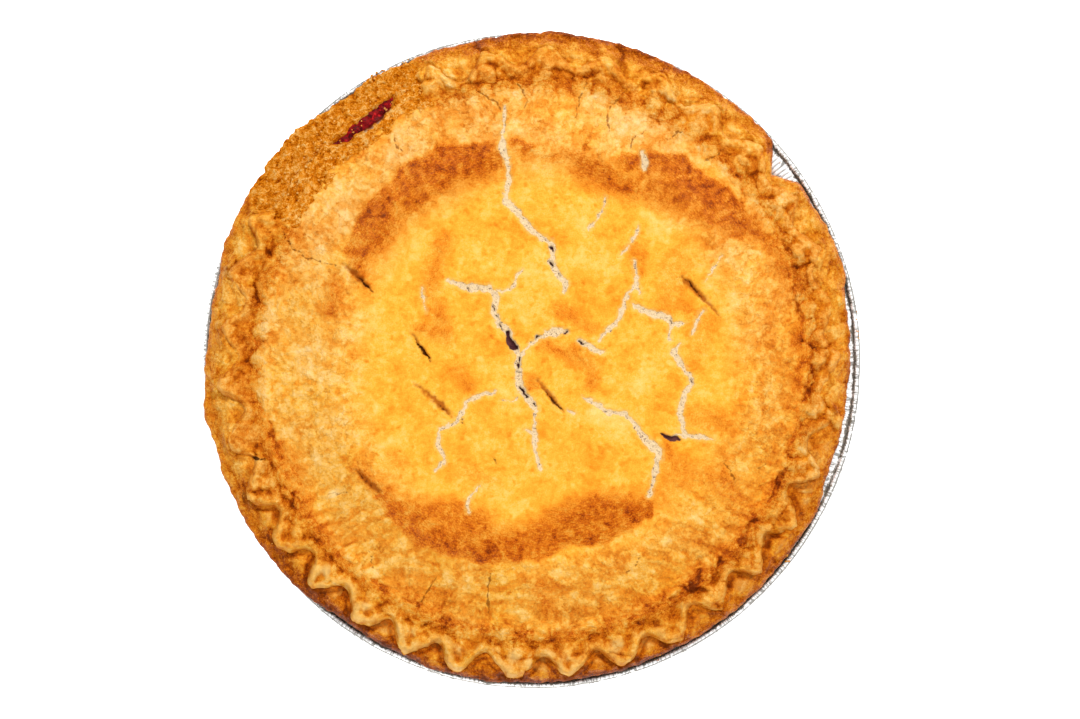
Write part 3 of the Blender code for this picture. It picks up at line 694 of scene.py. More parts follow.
def crimped_surface(x, y):
    """Height and masks of the crimped edge."""
    z, masks = lid_surface(x, y)
    radius = np.hypot(x, y)
    angle = column_angle
    fraction = column_crimp % 1
    which = column_crimp.astype(int) % CRIMPS
    inset = edge_distance(x, y)
    bent = inset + (0.8 * wave(x, y, 4.5, 93) + 0.4 * wave(x, y, 2, 90)) * smooth(0.3, 1.8, inset)
    broken = broken_share(x, y)
    whole = 1 - broken
    crisp = crispness() * whole * (0.75 + 0.25 * wave(x, y, 12, 89))
    soft = 1 - crisp
    arrive = smooth(LID_EDGE, LID_EDGE + 4, radius)
    inner = smooth(0.6, 2.6, inset) * arrive * whole
    past_tip = radius - tip_at(angle)
    lean = fraction - 0.5 + crimp_lean[which]
    lump, fold, pebble, lump_mark = lumps(x, y)
    rugged = rough(x, y, 3, 98)
    ragged = rough(x, y, 1.5, 100, 2)

    crest = CREST_Z + 0.5 + crimp_lift[which] * bell(fraction - 0.5, 0.3) + 0.6 * wave(x, y, 7, 99)
    z += (crest - z) * bell(np.maximum(bent - 3, 0), 1.6) * (0.2 + 0.8 * crisp) * arrive * whole
    knuckle = bell(lean, 0.18) * bell(past_tip + 9.2 + crimp_lift[which], 3.2) * crimp_bulk[which] * whole
    z += (1.7 * knuckle - 0.9 * bell(bent - 6, 1.4) * crisp) * arrive
    z += ((0.8 + 1.8 * soft) * (lump - 0.4) - 0.5 * (1 - 0.4 * crisp) * fold) * inner
    grain = 0.28 * pebble + (0.14 + 0.26 * crisp) * rugged + 0.2 * ragged
    z += grain * smooth(0, 1.2, inset) * arrive * whole

    skin_edge = SKIN_RADIUS + 1.6 * wave(x, y, 8, 107) + 0.9 * wave(x, y, 3, 109) + 0.5 * wave(x, y, 1.3, 110)
    skin_edge += 2.2 * smooth(0.05, 0.35, rough(x, y, 4, 111)) * smooth(97.5, 95.5, radius)
    torn = smooth(-1, 0.8, radius - skin_edge) * smooth(0.2, 0.8, broken)
    crumb = crumbly(x, y)
    z += (TORN_Z - 0.08 * (radius - 93) + 1.05 * crumb - z) * torn
    foot = FLANGE_TOP_Z - 0.7
    round_over = 2.8 + 0.6 * wave(x, y, 5, 113) - 1.4 * broken
    z = foot + (z - foot) * np.sin(0.5 * np.pi * np.clip(inset / round_over, 0, 1))

    hollow = np.clip(hollowness(z), -0.5, 0.9)
    rim = smooth(93, 100, radius)
    even = 0.585 + 0.1 * rugged + 0.12 * rough(x, y, 8, 112) - 0.06 * ragged
    band = bell(radius - 95.5 + 1.8 * wave(x, y, 8, 115), 3.8) * arrive * whole
    browned = 0.02 + 0.15 * smooth(-0.3, 0.8, rough(x, y, 8, 117))
    bake_and_shade = masks["bake_and_shade"] * (1 - rim) + even * rim + band * browned * (1 - 0.7 * within(angle, *PALE_LEFT))
    # Hollows and the groove behind the ridge are darker: painted shade, partly browning.
    bake_and_shade += ((0.21 + 0.08 * crisp) * hollow + 0.07 * bell(bent - 6, 1.2) * crisp) * arrive * whole
    bake_and_shade += (spans_sum(angle, RIM_TONES, 9) - 0.12 * soft * within(angle, *PALE_TOP)) * rim * whole
    # Folds between the lumps are darker: partly painted shade, partly browning.
    bake_and_shade += (0.07 * fold * (1 - 0.5 * crisp) - (0.08 + 0.22 * soft) * (lump - 0.42)) * inner
    light = bell(lean, 0.13) * bell(past_tip + 8.8, 2.4) * within(angle, *LIGHT_KNUCKLES)
    tan = 0.2 + 0.4 * within(angle, *TAN_BOTTOM) + 0.22 * within(angle, *TAN_CORNER)
    tan = tan * bell(np.maximum(bent - 3.2, 0), 1.4) * smooth(-0.6, 0.3, rough(x, y, 6, 119))
    tan *= (0.45 + 0.55 * crisp) * smooth(0.35, 0, hollow)
    slot = within(angle + 1.2 * wave(x, y, 1.6, 122), SLOT[0] - 2.5, 5, 3.5)
    soft_rim = soft * smooth(0.18, 0.52, lump) * smooth(0.4, 0, hollow) * whole
    soft_rim *= 1 - 0.5 * smooth(102, 107, radius) * within(angle, *BAKED_TOP)
    # The crimps' outer foot and the folds take the crease colour: partly painted shade, partly browning.
    creased = (0.25 + 0.45 * smooth(-0.35, 0.45, rough(x, y, 7, 124))) * smooth(1, 0.2, inset) * whole
    marked = 0.28 + 0.3 * within(angle, *CREASED_LEFT)
    creased += marked * fold * (1 - 0.6 * crisp) * inner * smooth(-0.1, 0.5, wave(x, y, 6, 123))
    masks.update({
        "bake_and_shade": bake_and_shade,
        "brown": np.maximum(masks["brown"] * (1 - rim), 0.8 * band),
        "flaky": masks["flaky"] * (1 - rim) + 0.7 * rim * whole,
        "tan": np.clip(tan + 0.9 * light * (0.5 + 0.7 * lump_mark), 0, 1) * whole * arrive,
        "torn": torn,
        "side": smooth(1.2, 0.4, inset),
        "rim": rim * (0.75 + 0.25 * crisp),
        "crumb": crumb_tone(x, y, crumb, hollow),
        "stain": slot * smooth(1.7, 0.5, inset + 0.9 * wave(x, y, 2, 121)),
        "peach": np.maximum(masks["peach"] * smooth(98, 92, radius), soft_rim * rim),
        "crease": np.clip(np.maximum(masks["crease"], creased), 0, 1) * (1 - torn),
    })
    for name in ("crack", "hair", "slash"):
        masks[name] = masks[name] + 4 * torn
    return z, masks


def flange_surface(x, y):
    """Height and masks of the flange's upper face, which is pressed up against the crimps."""
    radius = np.hypot(x, y)
    angle = column_angle
    outside = np.where(radius > zigzag_edge, edge_distance(x, y), 0)
    from_edge = flange_edge - radius
    whole = 1 - broken_share(x, y)
    crisp = crispness() * whole
    soft = 1 - crisp
    rugged = rough(x, y, 3.6, 141)
    merged = smooth(-0.4, 0.6, rough(x, y, 9, 142))
    lump = lumps(x, y)[0]
    crumb = crumbly(x, y)
    kept = whole * smooth(0.2, 1.6, from_edge)

    # The soft lumps of dough that the thumb left outside each pressed mark.
    turn = (column_crimp + 0.5) % 1 - 0.5
    thumbed = (0.75 + 0.45 * wave(x, y, 13, 161)) * bell(turn, 0.24) * smooth(0.3, 1.6, outside) * kept
    thumbed *= bell(radius - tip_at(angle) + 3.4 - 1.2 * wave(x, y, 11, 163), 3)
    z = FLANGE_TOP_Z - 0.3 - FLANGE_FALL * smooth(WALL_TOP_RADIUS, FLANGE_RADIUS + SHIFT, radius)
    pressed = np.exp(-outside / (2.2 + 1.4 * soft)) * whole * smooth(113.4, 109.5, radius)
    z += (0.9 + 1.2 * merged + 1.6 * soft) * pressed
    z += (1.5 * soft * (lump - 0.35) + 1.2 * (lump - 0.4) * crisp) * kept + 2.2 * crisp * thumbed
    z += (0.4 + 0.1 * smooth(105, 109, radius)) * rugged
    z += 0.36 * smooth(1.2, 0.1, cells(x, y, 1.9, 144)[0]) * whole
    z += (1 - whole) * (1.1 * crumb - 0.8)

    hollow = np.clip(hollowness(z), -0.5, 0.8)
    band = smooth(105.5, 109.5, radius + 1.2 * wave(x, y, 4, 143))
    sunk = within(angle, *SUNK_FLANGE)
    # A dark line at the crimps' outer foot: partly painted shade, partly browning.
    foot = 0.6 * smooth(0.9, 0.1, outside) * smooth(-0.3, 0.4, rough(x, y, 7, 124))
    smear = smooth(3.5, 0.5, outside) * smooth(0, 0.7, wave(x, y, 7, 145))
    # Painted shadow under the crimps' tips on the lower side.
    tip_shadow = 0.9 * bell(column_crimp % 1 - 0.5, 0.22) * smooth(1.3, 0.2, outside)
    tip_shadow = tip_shadow * within(angle, *TIP_SHADOW) * smooth(-0.5, 0.2, rough(x, y, 6, 126))
    outer_tone = 0.17 * within(angle, *BROWN_BOTTOM) + 0.16 * within(angle, *BROWN_TOP)
    # Hollows are darker: painted shade, partly browning.
    bake_and_shade = 0.6 + 0.08 * sunk + 0.14 * rugged + 0.1 * smear + 0.26 * hollow + 0.1 * rough(x, y, 8, 112)
    bake_and_shade += (outer_tone - 0.04) * band - 0.1 * thumbed + 0.05 * smooth(1.2, 0.3, from_edge)
    bake_and_shade -= 0.2 * soft * (lump - 0.45) + 0.08 * (1 - sunk) * (1 - band)
    # Painted shadow along the crimps' outer foot on the lower side.
    bake_and_shade += 0.12 * smooth(1.9, 0.2, outside) * within(angle, *FOOT_SHADOW)
    bake_and_shade += 0.12 * smooth(3, 0.6, from_edge) * within(angle, *DARK_LIP) - 0.03 * within(angle, *LIGHT_FLANGE)
    tan = 0.6 * thumbed * smooth(-0.5, 0.3, rough(x, y, 5, 128)) + 0.1 * (1 - merged)
    tan = np.clip(tan + 0.35 * smooth(0.45, 0.85, lump), 0, 0.9) * smooth(109.5, 105.5, radius)
    masks = {
        "bake_and_shade": bake_and_shade,
        "peach": 0.45 * soft * smooth(0.35, 0.75, lump) * whole,
        "brown": 0.5 * band,
        "flaky": np.full(x.shape, 0.7),
        "crease": np.clip(0.5 * foot + 0.3 * smear + tip_shadow, 0, 1) * whole,
        "torn": 1 - whole,
        "crumb": crumb_tone(x, y, crumb, hollow),
        "side": smooth(0.6, 0.1, from_edge),
        "rim": np.ones(x.shape),
        "tan": tan * (0.4 + 0.6 * sunk) * whole,
        "stain": np.zeros(x.shape),
    }
    masks.update(dict.fromkeys(FAR_MASKS, np.full(x.shape, 9.0)))
    return z, masks


# ---- Meshes -------------------------------------------------------------------------------
def make_piece(name, points, faces, masks, material, slot, *nodes):
    """A smooth piece that rides on the pie and stands for these nodes of the frame."""
    mesh = bpy.data.meshes.new(name)
    mesh.from_pydata((points * MM).tolist(), [], faces)
    for key, values in masks.items():
        attribute = mesh.attributes.new(key, "FLOAT", "POINT")
        attribute.data.foreach_set("value", np.ascontiguousarray(values, np.float32))
    mesh.shade_smooth()
    mesh.materials.append(material)
    piece = bpy.data.objects.new(name, mesh)
    bpy.context.scene.collection.objects.link(piece)
    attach(piece, "root")
    if nodes:
        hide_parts(*nodes)
    return piece


def polygons(*corners):
    """Faces as lists, from one array of point numbers for each corner."""
    return np.stack(corners, axis=-1).reshape(-1, len(corners)).tolist()


def grid_faces(rows, columns, start=0):
    """Quads of a grid that closes on itself across its columns, facing up when rows run out."""
    i, j = np.indices((rows - 1, columns))
    a = start + i * columns + j
    b = start + i * columns + (j + 1) % columns
    return polygons(a, a + columns, b + columns, b)


def cap_faces(ring_start, columns, pole, outwards):
    """Triangles from a ring to one point. outwards is True where the ring lies after it."""
    a = ring_start + np.arange(columns)
    b = ring_start + (np.arange(columns) + 1) % columns
    middle = np.full(columns, pole)
    return polygons(middle, a, b) if outwards else polygons(a, middle, b)


def ring_faces(rings):
    """Triangles of a disc whose ring k has 8k points."""
    faces = []
    for k in range(1, rings + 1):
        outer = 1 + 4 * k * (k - 1)
        inner = 1 + 4 * (k - 1) * (k - 2) if k > 1 else 0
        inner_count = max(8 * (k - 1), 1)
        octant, j = np.indices((8, k))
        a = inner + (octant * (k - 1) + j) % inner_count
        b = outer + octant * k + j
        c = outer + (octant * k + j + 1) % (8 * k)
        d = inner + (octant * (k - 1) + j + 1) % inner_count
        faces += polygons(a, b, c) + polygons(a[:, :-1], c[:, :-1], d[:, :-1])
    return faces


def with_same(masks, count):
    """Masks with count more values, for the hidden underside of a piece."""
    longer = {}
    for key, values in masks.items():
        plain = 9 if key in FAR_MASKS else 0.5 if key == "bake_and_shade" else 0
        longer[key] = np.concatenate([values.ravel(), np.full(count, plain)])
    return longer


def join_normals(piece, first, last):
    """Gives the points of the shared ring the normals of the surface itself, so that no line
    shows where the lid and the crimped edge meet."""
    mesh = piece.data
    normals = np.empty(len(mesh.vertices) * 3, np.float32)
    mesh.vertex_normals.foreach_get("vector", normals)
    normals = normals.reshape(-1, 3)
    step = 0.3
    x, y = on_circle(LID_EDGE, column_angle)
    slope_x = (lid_surface(x + step, y)[0] - lid_surface(x - step, y)[0]) / (2 * step)
    slope_y = (lid_surface(x, y + step)[0] - lid_surface(x, y - step)[0]) / (2 * step)
    steep = np.stack([-slope_x, -slope_y, np.ones(COLUMNS)], axis=-1)
    normals[first:last] = steep / np.linalg.norm(steep, axis=1, keepdims=True)
    mesh.normals_split_custom_set_from_vertices(normals.tolist())


def make_lid(material):
    """The glazed lid out to LID_EDGE, closed below by its own underside."""
    k = np.arange(1, RINGS + 1)
    past = (k - FINE_RINGS) / (RINGS - FINE_RINGS)
    radii = np.where(past <= 0, FINE_RADIUS * k / FINE_RINGS, FINE_RADIUS + (LID_EDGE - FINE_RADIUS) * past)
    rings = [on_circle(radius, crimp_angle(np.arange(8 * ring) * CRIMPS / (8 * ring)))
             for ring, radius in zip(k, radii)]
    x, y = np.concatenate([(np.zeros(1), np.zeros(1))] + rings, axis=1)
    z, masks = lid_surface(x, y)
    top = np.stack([x, y, z], axis=-1)
    rim = top[-COLUMNS:] - (0, 0, LID_CRUST)
    under = [[0, 0, MOAT_Z + DOME_RISE - SAG - LID_CRUST]]
    count = len(top)
    faces = ring_faces(RINGS) + grid_faces(2, COLUMNS, count - COLUMNS)
    faces += cap_faces(count, COLUMNS, count + COLUMNS, False)
    piece = make_piece("lid", np.concatenate([top, rim, under]), faces, with_same(masks, COLUMNS + 1),
                       material, "top_pastry", "top_crust")
    join_normals(piece, count - COLUMNS, count)


def make_crimped_edge(material):
    """The top crust's edge, from LID_EDGE out over the crimps and down to the flange."""
    share = np.concatenate([np.linspace(0, 0.86, 46), np.linspace(0.86, 1, 15)[1:]])[:, None]
    x, y = on_circle(LID_EDGE + (zigzag_edge - LID_EDGE) * share, column_angle)
    z, masks = crimped_surface(x, y)
    z[0] = lid_surface(x[0], y[0])[0]
    tucked = zigzag_edge - 0.6
    seat = placed(np.minimum(tucked, WALL_TOP_RADIUS - 4), column_angle, FLANGE_TOP_Z - 1)
    under = placed(np.minimum(tucked, LID_EDGE), column_angle, z[0] - LID_CRUST)
    points = np.concatenate([np.stack([x, y, z], axis=-1), [seat, under]])
    j = np.arange(COLUMNS)
    last, after = (len(points) - 1) * COLUMNS, (j + 1) % COLUMNS
    faces = grid_faces(len(points), COLUMNS) + polygons(last + j, j, after, last + after)
    piece = make_piece("crimped_edge", points.reshape(-1, 3), faces, with_same(masks, 2 * COLUMNS),
                       material, "top_pastry", "top_crust")
    join_normals(piece, 0, COLUMNS)


def flange_under(radius):
    rise = np.clip((radius - OVERHANG_START) / (OVERHANG_END - OVERHANG_START), 0, 1)
    return FLANGE_Z + 0.45 + OVERHANG * rise


def make_bottom_crust(material):
    """The pastry that lines the pan, with its flange in full detail."""
    inner = slot_outline()
    edge = flange_edge - 0.9
    x, y = on_circle(inner + (edge - inner) * np.linspace(0, 1, 34)[:, None], column_angle)
    z, masks = flange_surface(x, y)
    base_z = FOIL + 0.3
    lip, under = z[-1], flange_under(flange_edge - 0.4)
    half = (lip + under) / 2
    seat = np.minimum(edge, OVERHANG_START)
    before = [(BASE_RADIUS - 6, base_z + 3), (BASE_RADIUS - 3, 5.5), (WALL_TOP_RADIUS - 4.2, 30),
              (inner - 0.5, FLANGE_TOP_Z - 0.9)]
    after = [(flange_edge - back, half + (lip - half) * rise)
             for back, rise in ((0.45, 0.72), (0.12, 0.38), (0, 0), (0.08, -0.5))]
    after += [(flange_edge - 0.4, under),
              (np.minimum(flange_edge - 0.6, OVERHANG_END), flange_under(OVERHANG_END)),
              (seat, flange_under(seat)), (WALL_TOP_RADIUS - 0.6, FLANGE_Z + 0.45),
              (BASE_RADIUS - 0.9, 1.4), (BASE_RADIUS - 3, base_z)]
    points = np.concatenate([[placed(radius, column_angle, height) for radius, height in before],
                             np.stack([x, y, z], axis=-1),
                             [placed(radius, column_angle, height) for radius, height in after]])
    rows, count = len(points), len(points) * COLUMNS
    faces = grid_faces(rows, COLUMNS) + cap_faces(0, COLUMNS, count, True)
    faces += cap_faces(count - COLUMNS, COLUMNS, count + 1, False)
    points = np.concatenate([points.reshape(-1, 3), [[0, 0, base_z + 3], [0, 0, base_z]]])
    for key, values in masks.items():
        spread = np.pad(values, ((len(before), len(after)), (0, 0)), mode="edge").ravel()
        masks[key] = np.append(spread, spread[-1:].repeat(2))
    make_piece("pastry_base", points, faces, masks, material, "bottom_pastry", "bottom_crust")


# ---- Foil pan -----------------------------------------------------------------------------
RIBS, RIB_POINTS, RIB_DEPTH = 450, 4, 0.34
# The painted shadow band beside the bead lies no closer to the middle than this radius.
SHADE_BAND_RADIUS = 111.8


def pan_profile():
    """Rows of the pan from its middle below, out and back to its middle above: radius, height,
    share of the ribs across the wall, share of them upwards."""
    end = BEAD_CENTRE - BEAD_RADIUS
    below = FLANGE_Z - FOIL
    rows = [(radius, height, 0, 0) for radius, height in (
        (20, 0), (40, 0), (46, 0), (47, 0.5), (49, 0.5), (50, 0), (70, 0), (71, 0.5), (73, 0.5), (74, 0))]
    rows += [(BASE_RADIUS - 3, 0, 0, 0), (BASE_RADIUS - 0.9, 0.25, 0.15, 0), (BASE_RADIUS + 0.25, 1, 0.5, 0)]
    rows += [(BASE_RADIUS + 0.3 + (WALL_TOP_RADIUS - BASE_RADIUS) * share, FLANGE_Z * share, 1, 0)
             for share in np.linspace(0.08, 0.97, 10)]
    rows += [(WALL_TOP_RADIUS + 0.7, below - 0.3, 0.6, 0.4), (WALL_TOP_RADIUS + 2.5, below, 0, 0.8),
             (end - 0.4, below, 0, 0.6)]
    for turn in map(math.radians, range(-140, 171, 30)):
        rows.append((BEAD_CENTRE + BEAD_RADIUS * math.cos(turn), BEAD_Z + BEAD_RADIUS * math.sin(turn),
                     0.05, 0.12 * abs(math.sin(turn))))
    rows += [(end + 0.25, FLANGE_Z + 0.15, 0, 0.05), (end - 0.15, FLANGE_Z - 0.05, 0, 0.1)]
    rows += [(end - back, FLANGE_Z, 0, up) for back, up in ((0.6, 0.12), (1.1, 0.15), (2, 0.25), (3, 0.5))]
    rows += [(WALL_TOP_RADIUS + out, FLANGE_Z - down, across, up) for out, down, across, up in (
        (2.5, 0, 0, 0.6), (0.7, 0, 0.4, 0.6), (-0.4, 1, 0.8, 0.2), (-4, 6, 0.8, 0))]
    return rows + [(BASE_RADIUS - 0.2, 1.3, 0.3, 0), (BASE_RADIUS - 3, FOIL, 0, 0)]


def make_pan(material):
    """The pressed foil pan: ribbed wall and flange, rolled bead and a base with two rings."""
    columns = RIBS * RIB_POINTS
    angle = 360 * np.arange(columns) / columns

    def swing(times, start=0):
        return np.sin(np.radians(angle * times + start))

    rib = np.cos(np.radians(angle * RIBS) + 0.35 * swing(7) + 0.3 * swing(23)) * (1 + 0.25 * swing(31))
    dents = 0.25 * swing(11, 40) * swing(5)
    slant = math.atan2(WALL_TOP_RADIUS - BASE_RADIUS, FLANGE_Z)
    rim_x, rim_y = on_circle(BEAD_CENTRE, angle)
    bulge = 0.9 * within(angle, *BENT_PAN) + 0.25 * wave(rim_x, rim_y, 30, 151)
    # Radius of the painted shadow band beside the bead, just outside the pastry's edge.
    band_radius = np.clip(np.interp(angle, column_angle, flange_edge, period=360) + 0.15, SHADE_BAND_RADIUS, 113.3)
    rows, band_shade, valley = [], [], []
    for radius, z, across, up in pan_profile():
        out = radius + RIB_DEPTH * across * rib * math.cos(slant) + dents * min(z / FLANGE_Z, 1) * 0.6
        out = out + bulge * smooth(WALL_TOP_RADIUS, BEAD_CENTRE, radius)
        high = z - RIB_DEPTH * across * rib * math.sin(slant) + RIB_DEPTH * up * rib
        rows.append(placed(out, angle, np.maximum(high, 0)))
        # 1 on the upper face, where the painted shadow band beside the bead can go.
        band_shade.append(np.full(columns, float(z > FLANGE_Z - 0.2)))
        valley.append((0.5 - 0.5 * rib) * smooth(0.02, 0.2, across + up))
    count = len(rows) * columns
    faces = grid_faces(len(rows), columns) + cap_faces(0, columns, count, True)
    faces += cap_faces(count - columns, columns, count + 1, False)
    points = np.concatenate(rows + [[[0, 0, 0], [0, 0, FOIL]]])
    masks = {"band_radius": [band_radius] * len(rows), "band_shade": band_shade, "valley": valley}
    masks = {key: np.append(np.concatenate(values), [0, 0]) for key, values in masks.items()}
    make_piece("pan", points, [face[::-1] for face in faces], masks, material, "foil", "foil_pan")


# ---- Filling in the slot, and crumbs ------------------------------------------------------
FRUIT_Z = 31.6
FRUIT_START, FRUIT_END = 95, 105


def make_slot_fruit(material):
    """Wet fruit that has risen into the slot, from under the lid to the lining's wall."""
    reach = SLOT[1] + 2.5
    radius, angle = np.meshgrid(np.linspace(FRUIT_START, FRUIT_END, 34),
                                np.linspace(SLOT[0] - reach, SLOT[0] + reach, 110), indexing="ij")
    x, y = on_circle(radius, angle)
    lump, _, mark = cells(x, y, 3.4, 131)
    z = FRUIT_Z + ball(lump, 2.5) * (0.55 + 0.45 * mark) + 0.35 * rough(x, y, 3, 133)
    z -= 1.2 * smooth(FRUIT_START + 1.5, FRUIT_START, radius)
    at = np.arange(x.size).reshape(x.shape)
    faces = polygons(at[:-1, :-1], at[1:, :-1], at[1:, 1:], at[:-1, 1:])
    make_piece("slot_fruit", np.stack([x, y, z], axis=-1).reshape(-1, 3), faces, {}, material, "filling")


def unit_blob():
    """Points and triangles of a small sphere."""
    bm = bmesh.new()
    bmesh.ops.create_icosphere(bm, subdivisions=2, radius=1)
    points = np.array([v.co for v in bm.verts])
    faces = np.array([[v.index for v in face.verts] for face in bm.faces])
    bm.free()
    return points, faces


def flange_height(angle, radius):
    """Rough height of the pastry or foil at a place near the edge."""
    column = int(np.argmin(np.abs(angle_off(column_angle, angle))))
    if radius < zigzag_edge[column]:
        return 35
    if radius < flange_edge[column] - 0.3:
        return FLANGE_TOP_Z - FLANGE_FALL * float(smooth(105, 113.7, radius)) - 0.1
    return BEAD_Z + BEAD_RADIUS - 0.2 if radius > BEAD_CENTRE - 1 else FLANGE_Z + 0.1


# Groups of crumbs: middle angle, half width of angles, lowest and highest radius, count, size.
CRUMBS = (
    (129, 18, 94, 111.5, 170, 0.85), (118.5, 1.6, 112, 114.2, 16, 1.2), (113, 3, 111, 113.6, 12, 0.8),
    (6, 3.5, 112.6, 114.2, 9, 0.7), (32.5, 1.2, 109.3, 111.6, 9, 0.9),
    (291.5, 2.6, 110.3, 112.8, 13, 0.7), (322, 1.8, 109.8, 113.2, 22, 0.9),
    (36, 6, 109, 112, 8, 0.35), (345, 12, 109, 112.5, 12, 0.35), (250, 60, 108, 111, 40, 0.45),
    (180, 30, 104, 111, 30, 0.5), (75, 25, 104, 112, 24, 0.5),
)


def make_crumbs(material):
    """Loose crumbs: in the break, along the edge, and on the pan's bead."""
    base, triangles = unit_blob()
    points, faces = [], []
    for middle, half, low, high, count, size in CRUMBS:
        for _ in range(count):
            angle = middle + half * rng.uniform(-1, 1)
            radius = rng.uniform(low, high)
            across = size * rng.uniform(0.45, 1.25)
            squash = rng.uniform(0.5, 0.95, 3)
            bent = base * (1 + 0.22 * np.sin(base[:, [1, 2, 0]] * 4 + rng.uniform(0, 6, 3)))
            spin = rng.uniform(0, 2 * np.pi)
            x, y, z = (bent * squash * across * 0.5).T
            centre_x, centre_y = on_circle(radius, angle)
            faces.append(triangles + len(base) * len(points))
            points.append(np.stack([x * math.cos(spin) - y * math.sin(spin) + centre_x,
                                    x * math.sin(spin) + y * math.cos(spin) + centre_y,
                                    z + flange_height(angle, radius) + 0.25 * across], axis=-1))
    points = np.concatenate(points)
    masks = {"torn": np.ones(len(points)), "crumb": np.full(len(points), 0.75)}
    masks.update(dict.fromkeys(FAR_MASKS, np.full(len(points), 9)))
    make_piece("crumbs", points, np.concatenate(faces).tolist(), masks, material, "bottom_pastry")


# ---- Materials ----------------------------------------------------------------------------
ALBEDO = 0.62  # colours below are as seen in bright light; surfaces reflect this share


def linear(colour, reflect=ALBEDO):
    """An sRGB colour of 0 to 255 as the linear share of light that it reflects."""
    parts = [value / 255 for value in colour]
    parts = [part / 12.92 if part <= 0.04045 else ((part + 0.055) / 1.055) ** 2.4 for part in parts]
    return [part * reflect for part in parts] + [1]


class Value:
    """A node's output. Arithmetic on it adds further nodes."""

    def __init__(self, shader, socket):
        self.shader = shader
        self.socket = socket

    def __add__(self, other):
        return self.shader.math("ADD", self, other)

    def __sub__(self, other):
        return self.shader.math("SUBTRACT", self, other)

    def __mul__(self, other):
        return self.shader.math("MULTIPLY", self, other)

    def __abs__(self):
        return self.shader.math("ABSOLUTE", self)

    __radd__ = __add__
    __rmul__ = __mul__


class Shader:
    """A material's node tree, with short calls for the nodes that it uses."""

    def __init__(self, name):
        self.material = bpy.data.materials.new(name)
        self.material.use_nodes = True
        self.tree = self.material.node_tree
        self.place = self.node("TexCoord", "Object", {})

    def connect(self, value, socket):
        if isinstance(value, Value):
            self.tree.links.new(value.socket, socket)
        else:
            socket.default_value = value

    def node(self, kind, output, inputs, **settings):
        """Adds a node with these settings and inputs, and returns one of its outputs."""
        node = self.tree.nodes.new("ShaderNode" + kind)
        for key, value in settings.items():
            setattr(node, key, value)
        for key, value in inputs.items():
            self.connect(value, node.inputs[key])
        return Value(self, node.outputs[output])

    def surface(self, **inputs):
        """Sets the surface's own inputs, named with _ for each space."""
        for key, value in inputs.items():
            self.connect(value, self.tree.nodes["Principled BSDF"].inputs[key.replace("_", " ")])

    def attribute(self, name):
        return self.node("Attribute", "Fac", {}, attribute_name=name)

    def noise(self, size, detail=3, roughness=0.55, warp=0, place=None):
        """Noise from 0 to 1 about 0.5, with features of size millimetres."""
        inputs = {"Vector": place or self.place, "Scale": 1 / (size * MM), "Detail": detail,
                  "Roughness": roughness, "Distortion": warp}
        return self.node("TexNoise", "Fac", inputs)

    def polar(self):
        """The direction from the pie's middle as a vector of length 1, and the radius in mm."""
        flat = self.node("VectorMath", "Vector", {0: self.place, 1: (1, 1, 0)}, operation="MULTIPLY")
        radius = self.node("VectorMath", "Value", {0: flat}, operation="LENGTH")
        return self.node("VectorMath", "Vector", {0: flat}, operation="NORMALIZE"), radius * (1 / MM)

    def stretched(self, flat, flat_size, radius, radius_size, detail, roughness):
        """Noise with one size across the flat vector and another along the radius."""
        x, y = [self.node("SeparateXYZ", axis, {0: flat}) * (1 / flat_size) for axis in (0, 1)]
        place = self.node("CombineXYZ", 0, {0: x, 1: y, 2: radius * (1 / radius_size)})
        return self.noise(1 / MM, detail, roughness, 0, place)

    def math(self, operation, a, b=0):
        return self.node("Math", 0, {0: a, 1: b}, operation=operation)

    def most(self, first, *others):
        for other in others:
            first = self.math("MAXIMUM", first, other)
        return first

    def step(self, value, low, high, start=0, end=1):
        """start at low, end at high, with a smooth step between. low may be the larger one."""
        if low > high:
            low, high, start, end = high, low, end, start
        inputs = {"Value": value, "From Min": low, "From Max": high, "To Min": start, "To Max": end}
        return self.node("MapRange", "Result", inputs, interpolation_type="SMOOTHSTEP")

    def mark(self, name, uneven, low, high, most=1):
        """Share of a mark: 0 where the mask is at low and most at high, with uneven edges."""
        return self.step(self.attribute(name) + uneven, low, high, 0, most)

    def ramp(self, value, stops):
        """A colour for each value, from stops of (value, colour) that start at 0."""
        reach = stops[-1][0]
        colour = self.node("ValToRGB", "Color", {"Fac": value * (1 / reach)})
        elements = colour.socket.node.color_ramp.elements
        while len(elements) < len(stops):
            elements.new(1)
        for element, (level, tint) in zip(elements, stops):
            element.position = level / reach
            element.color = linear(tint)
        return colour

    def blend(self, share, a, b, reflect=ALBEDO):
        """Colour a where share is 0 and b where it is 1. The numbers are the node's own sockets."""
        a, b = [tint if isinstance(tint, Value) else linear(tint, reflect) for tint in (a, b)]
        return self.node("Mix", 2, {0: share, 6: a, 7: b}, data_type="RGBA")

    def bump(self, height, distance, strength=1):
        """Fine relief; distance is its height in millimetres."""
        inputs = {"Distance": distance * MM, "Strength": strength, "Height": height}
        self.surface(Normal=self.node("Bump", "Normal", inputs))


# Crust colours from palest to darkest, each with the level of baking and painted shade where it is reached.
# Red goes over 255 where the crust stays bright even on slopes that face away from the light.
CRUST = ((0, (276, 232, 150)), (0.18, (274, 214, 110)), (0.36, (266, 191, 60)), (0.52, (257, 161, 36)),
         (0.66, (242, 136, 24)), (0.8, (216, 106, 12)), (0.92, (182, 76, 6)), (1.06, (128, 46, 4)))
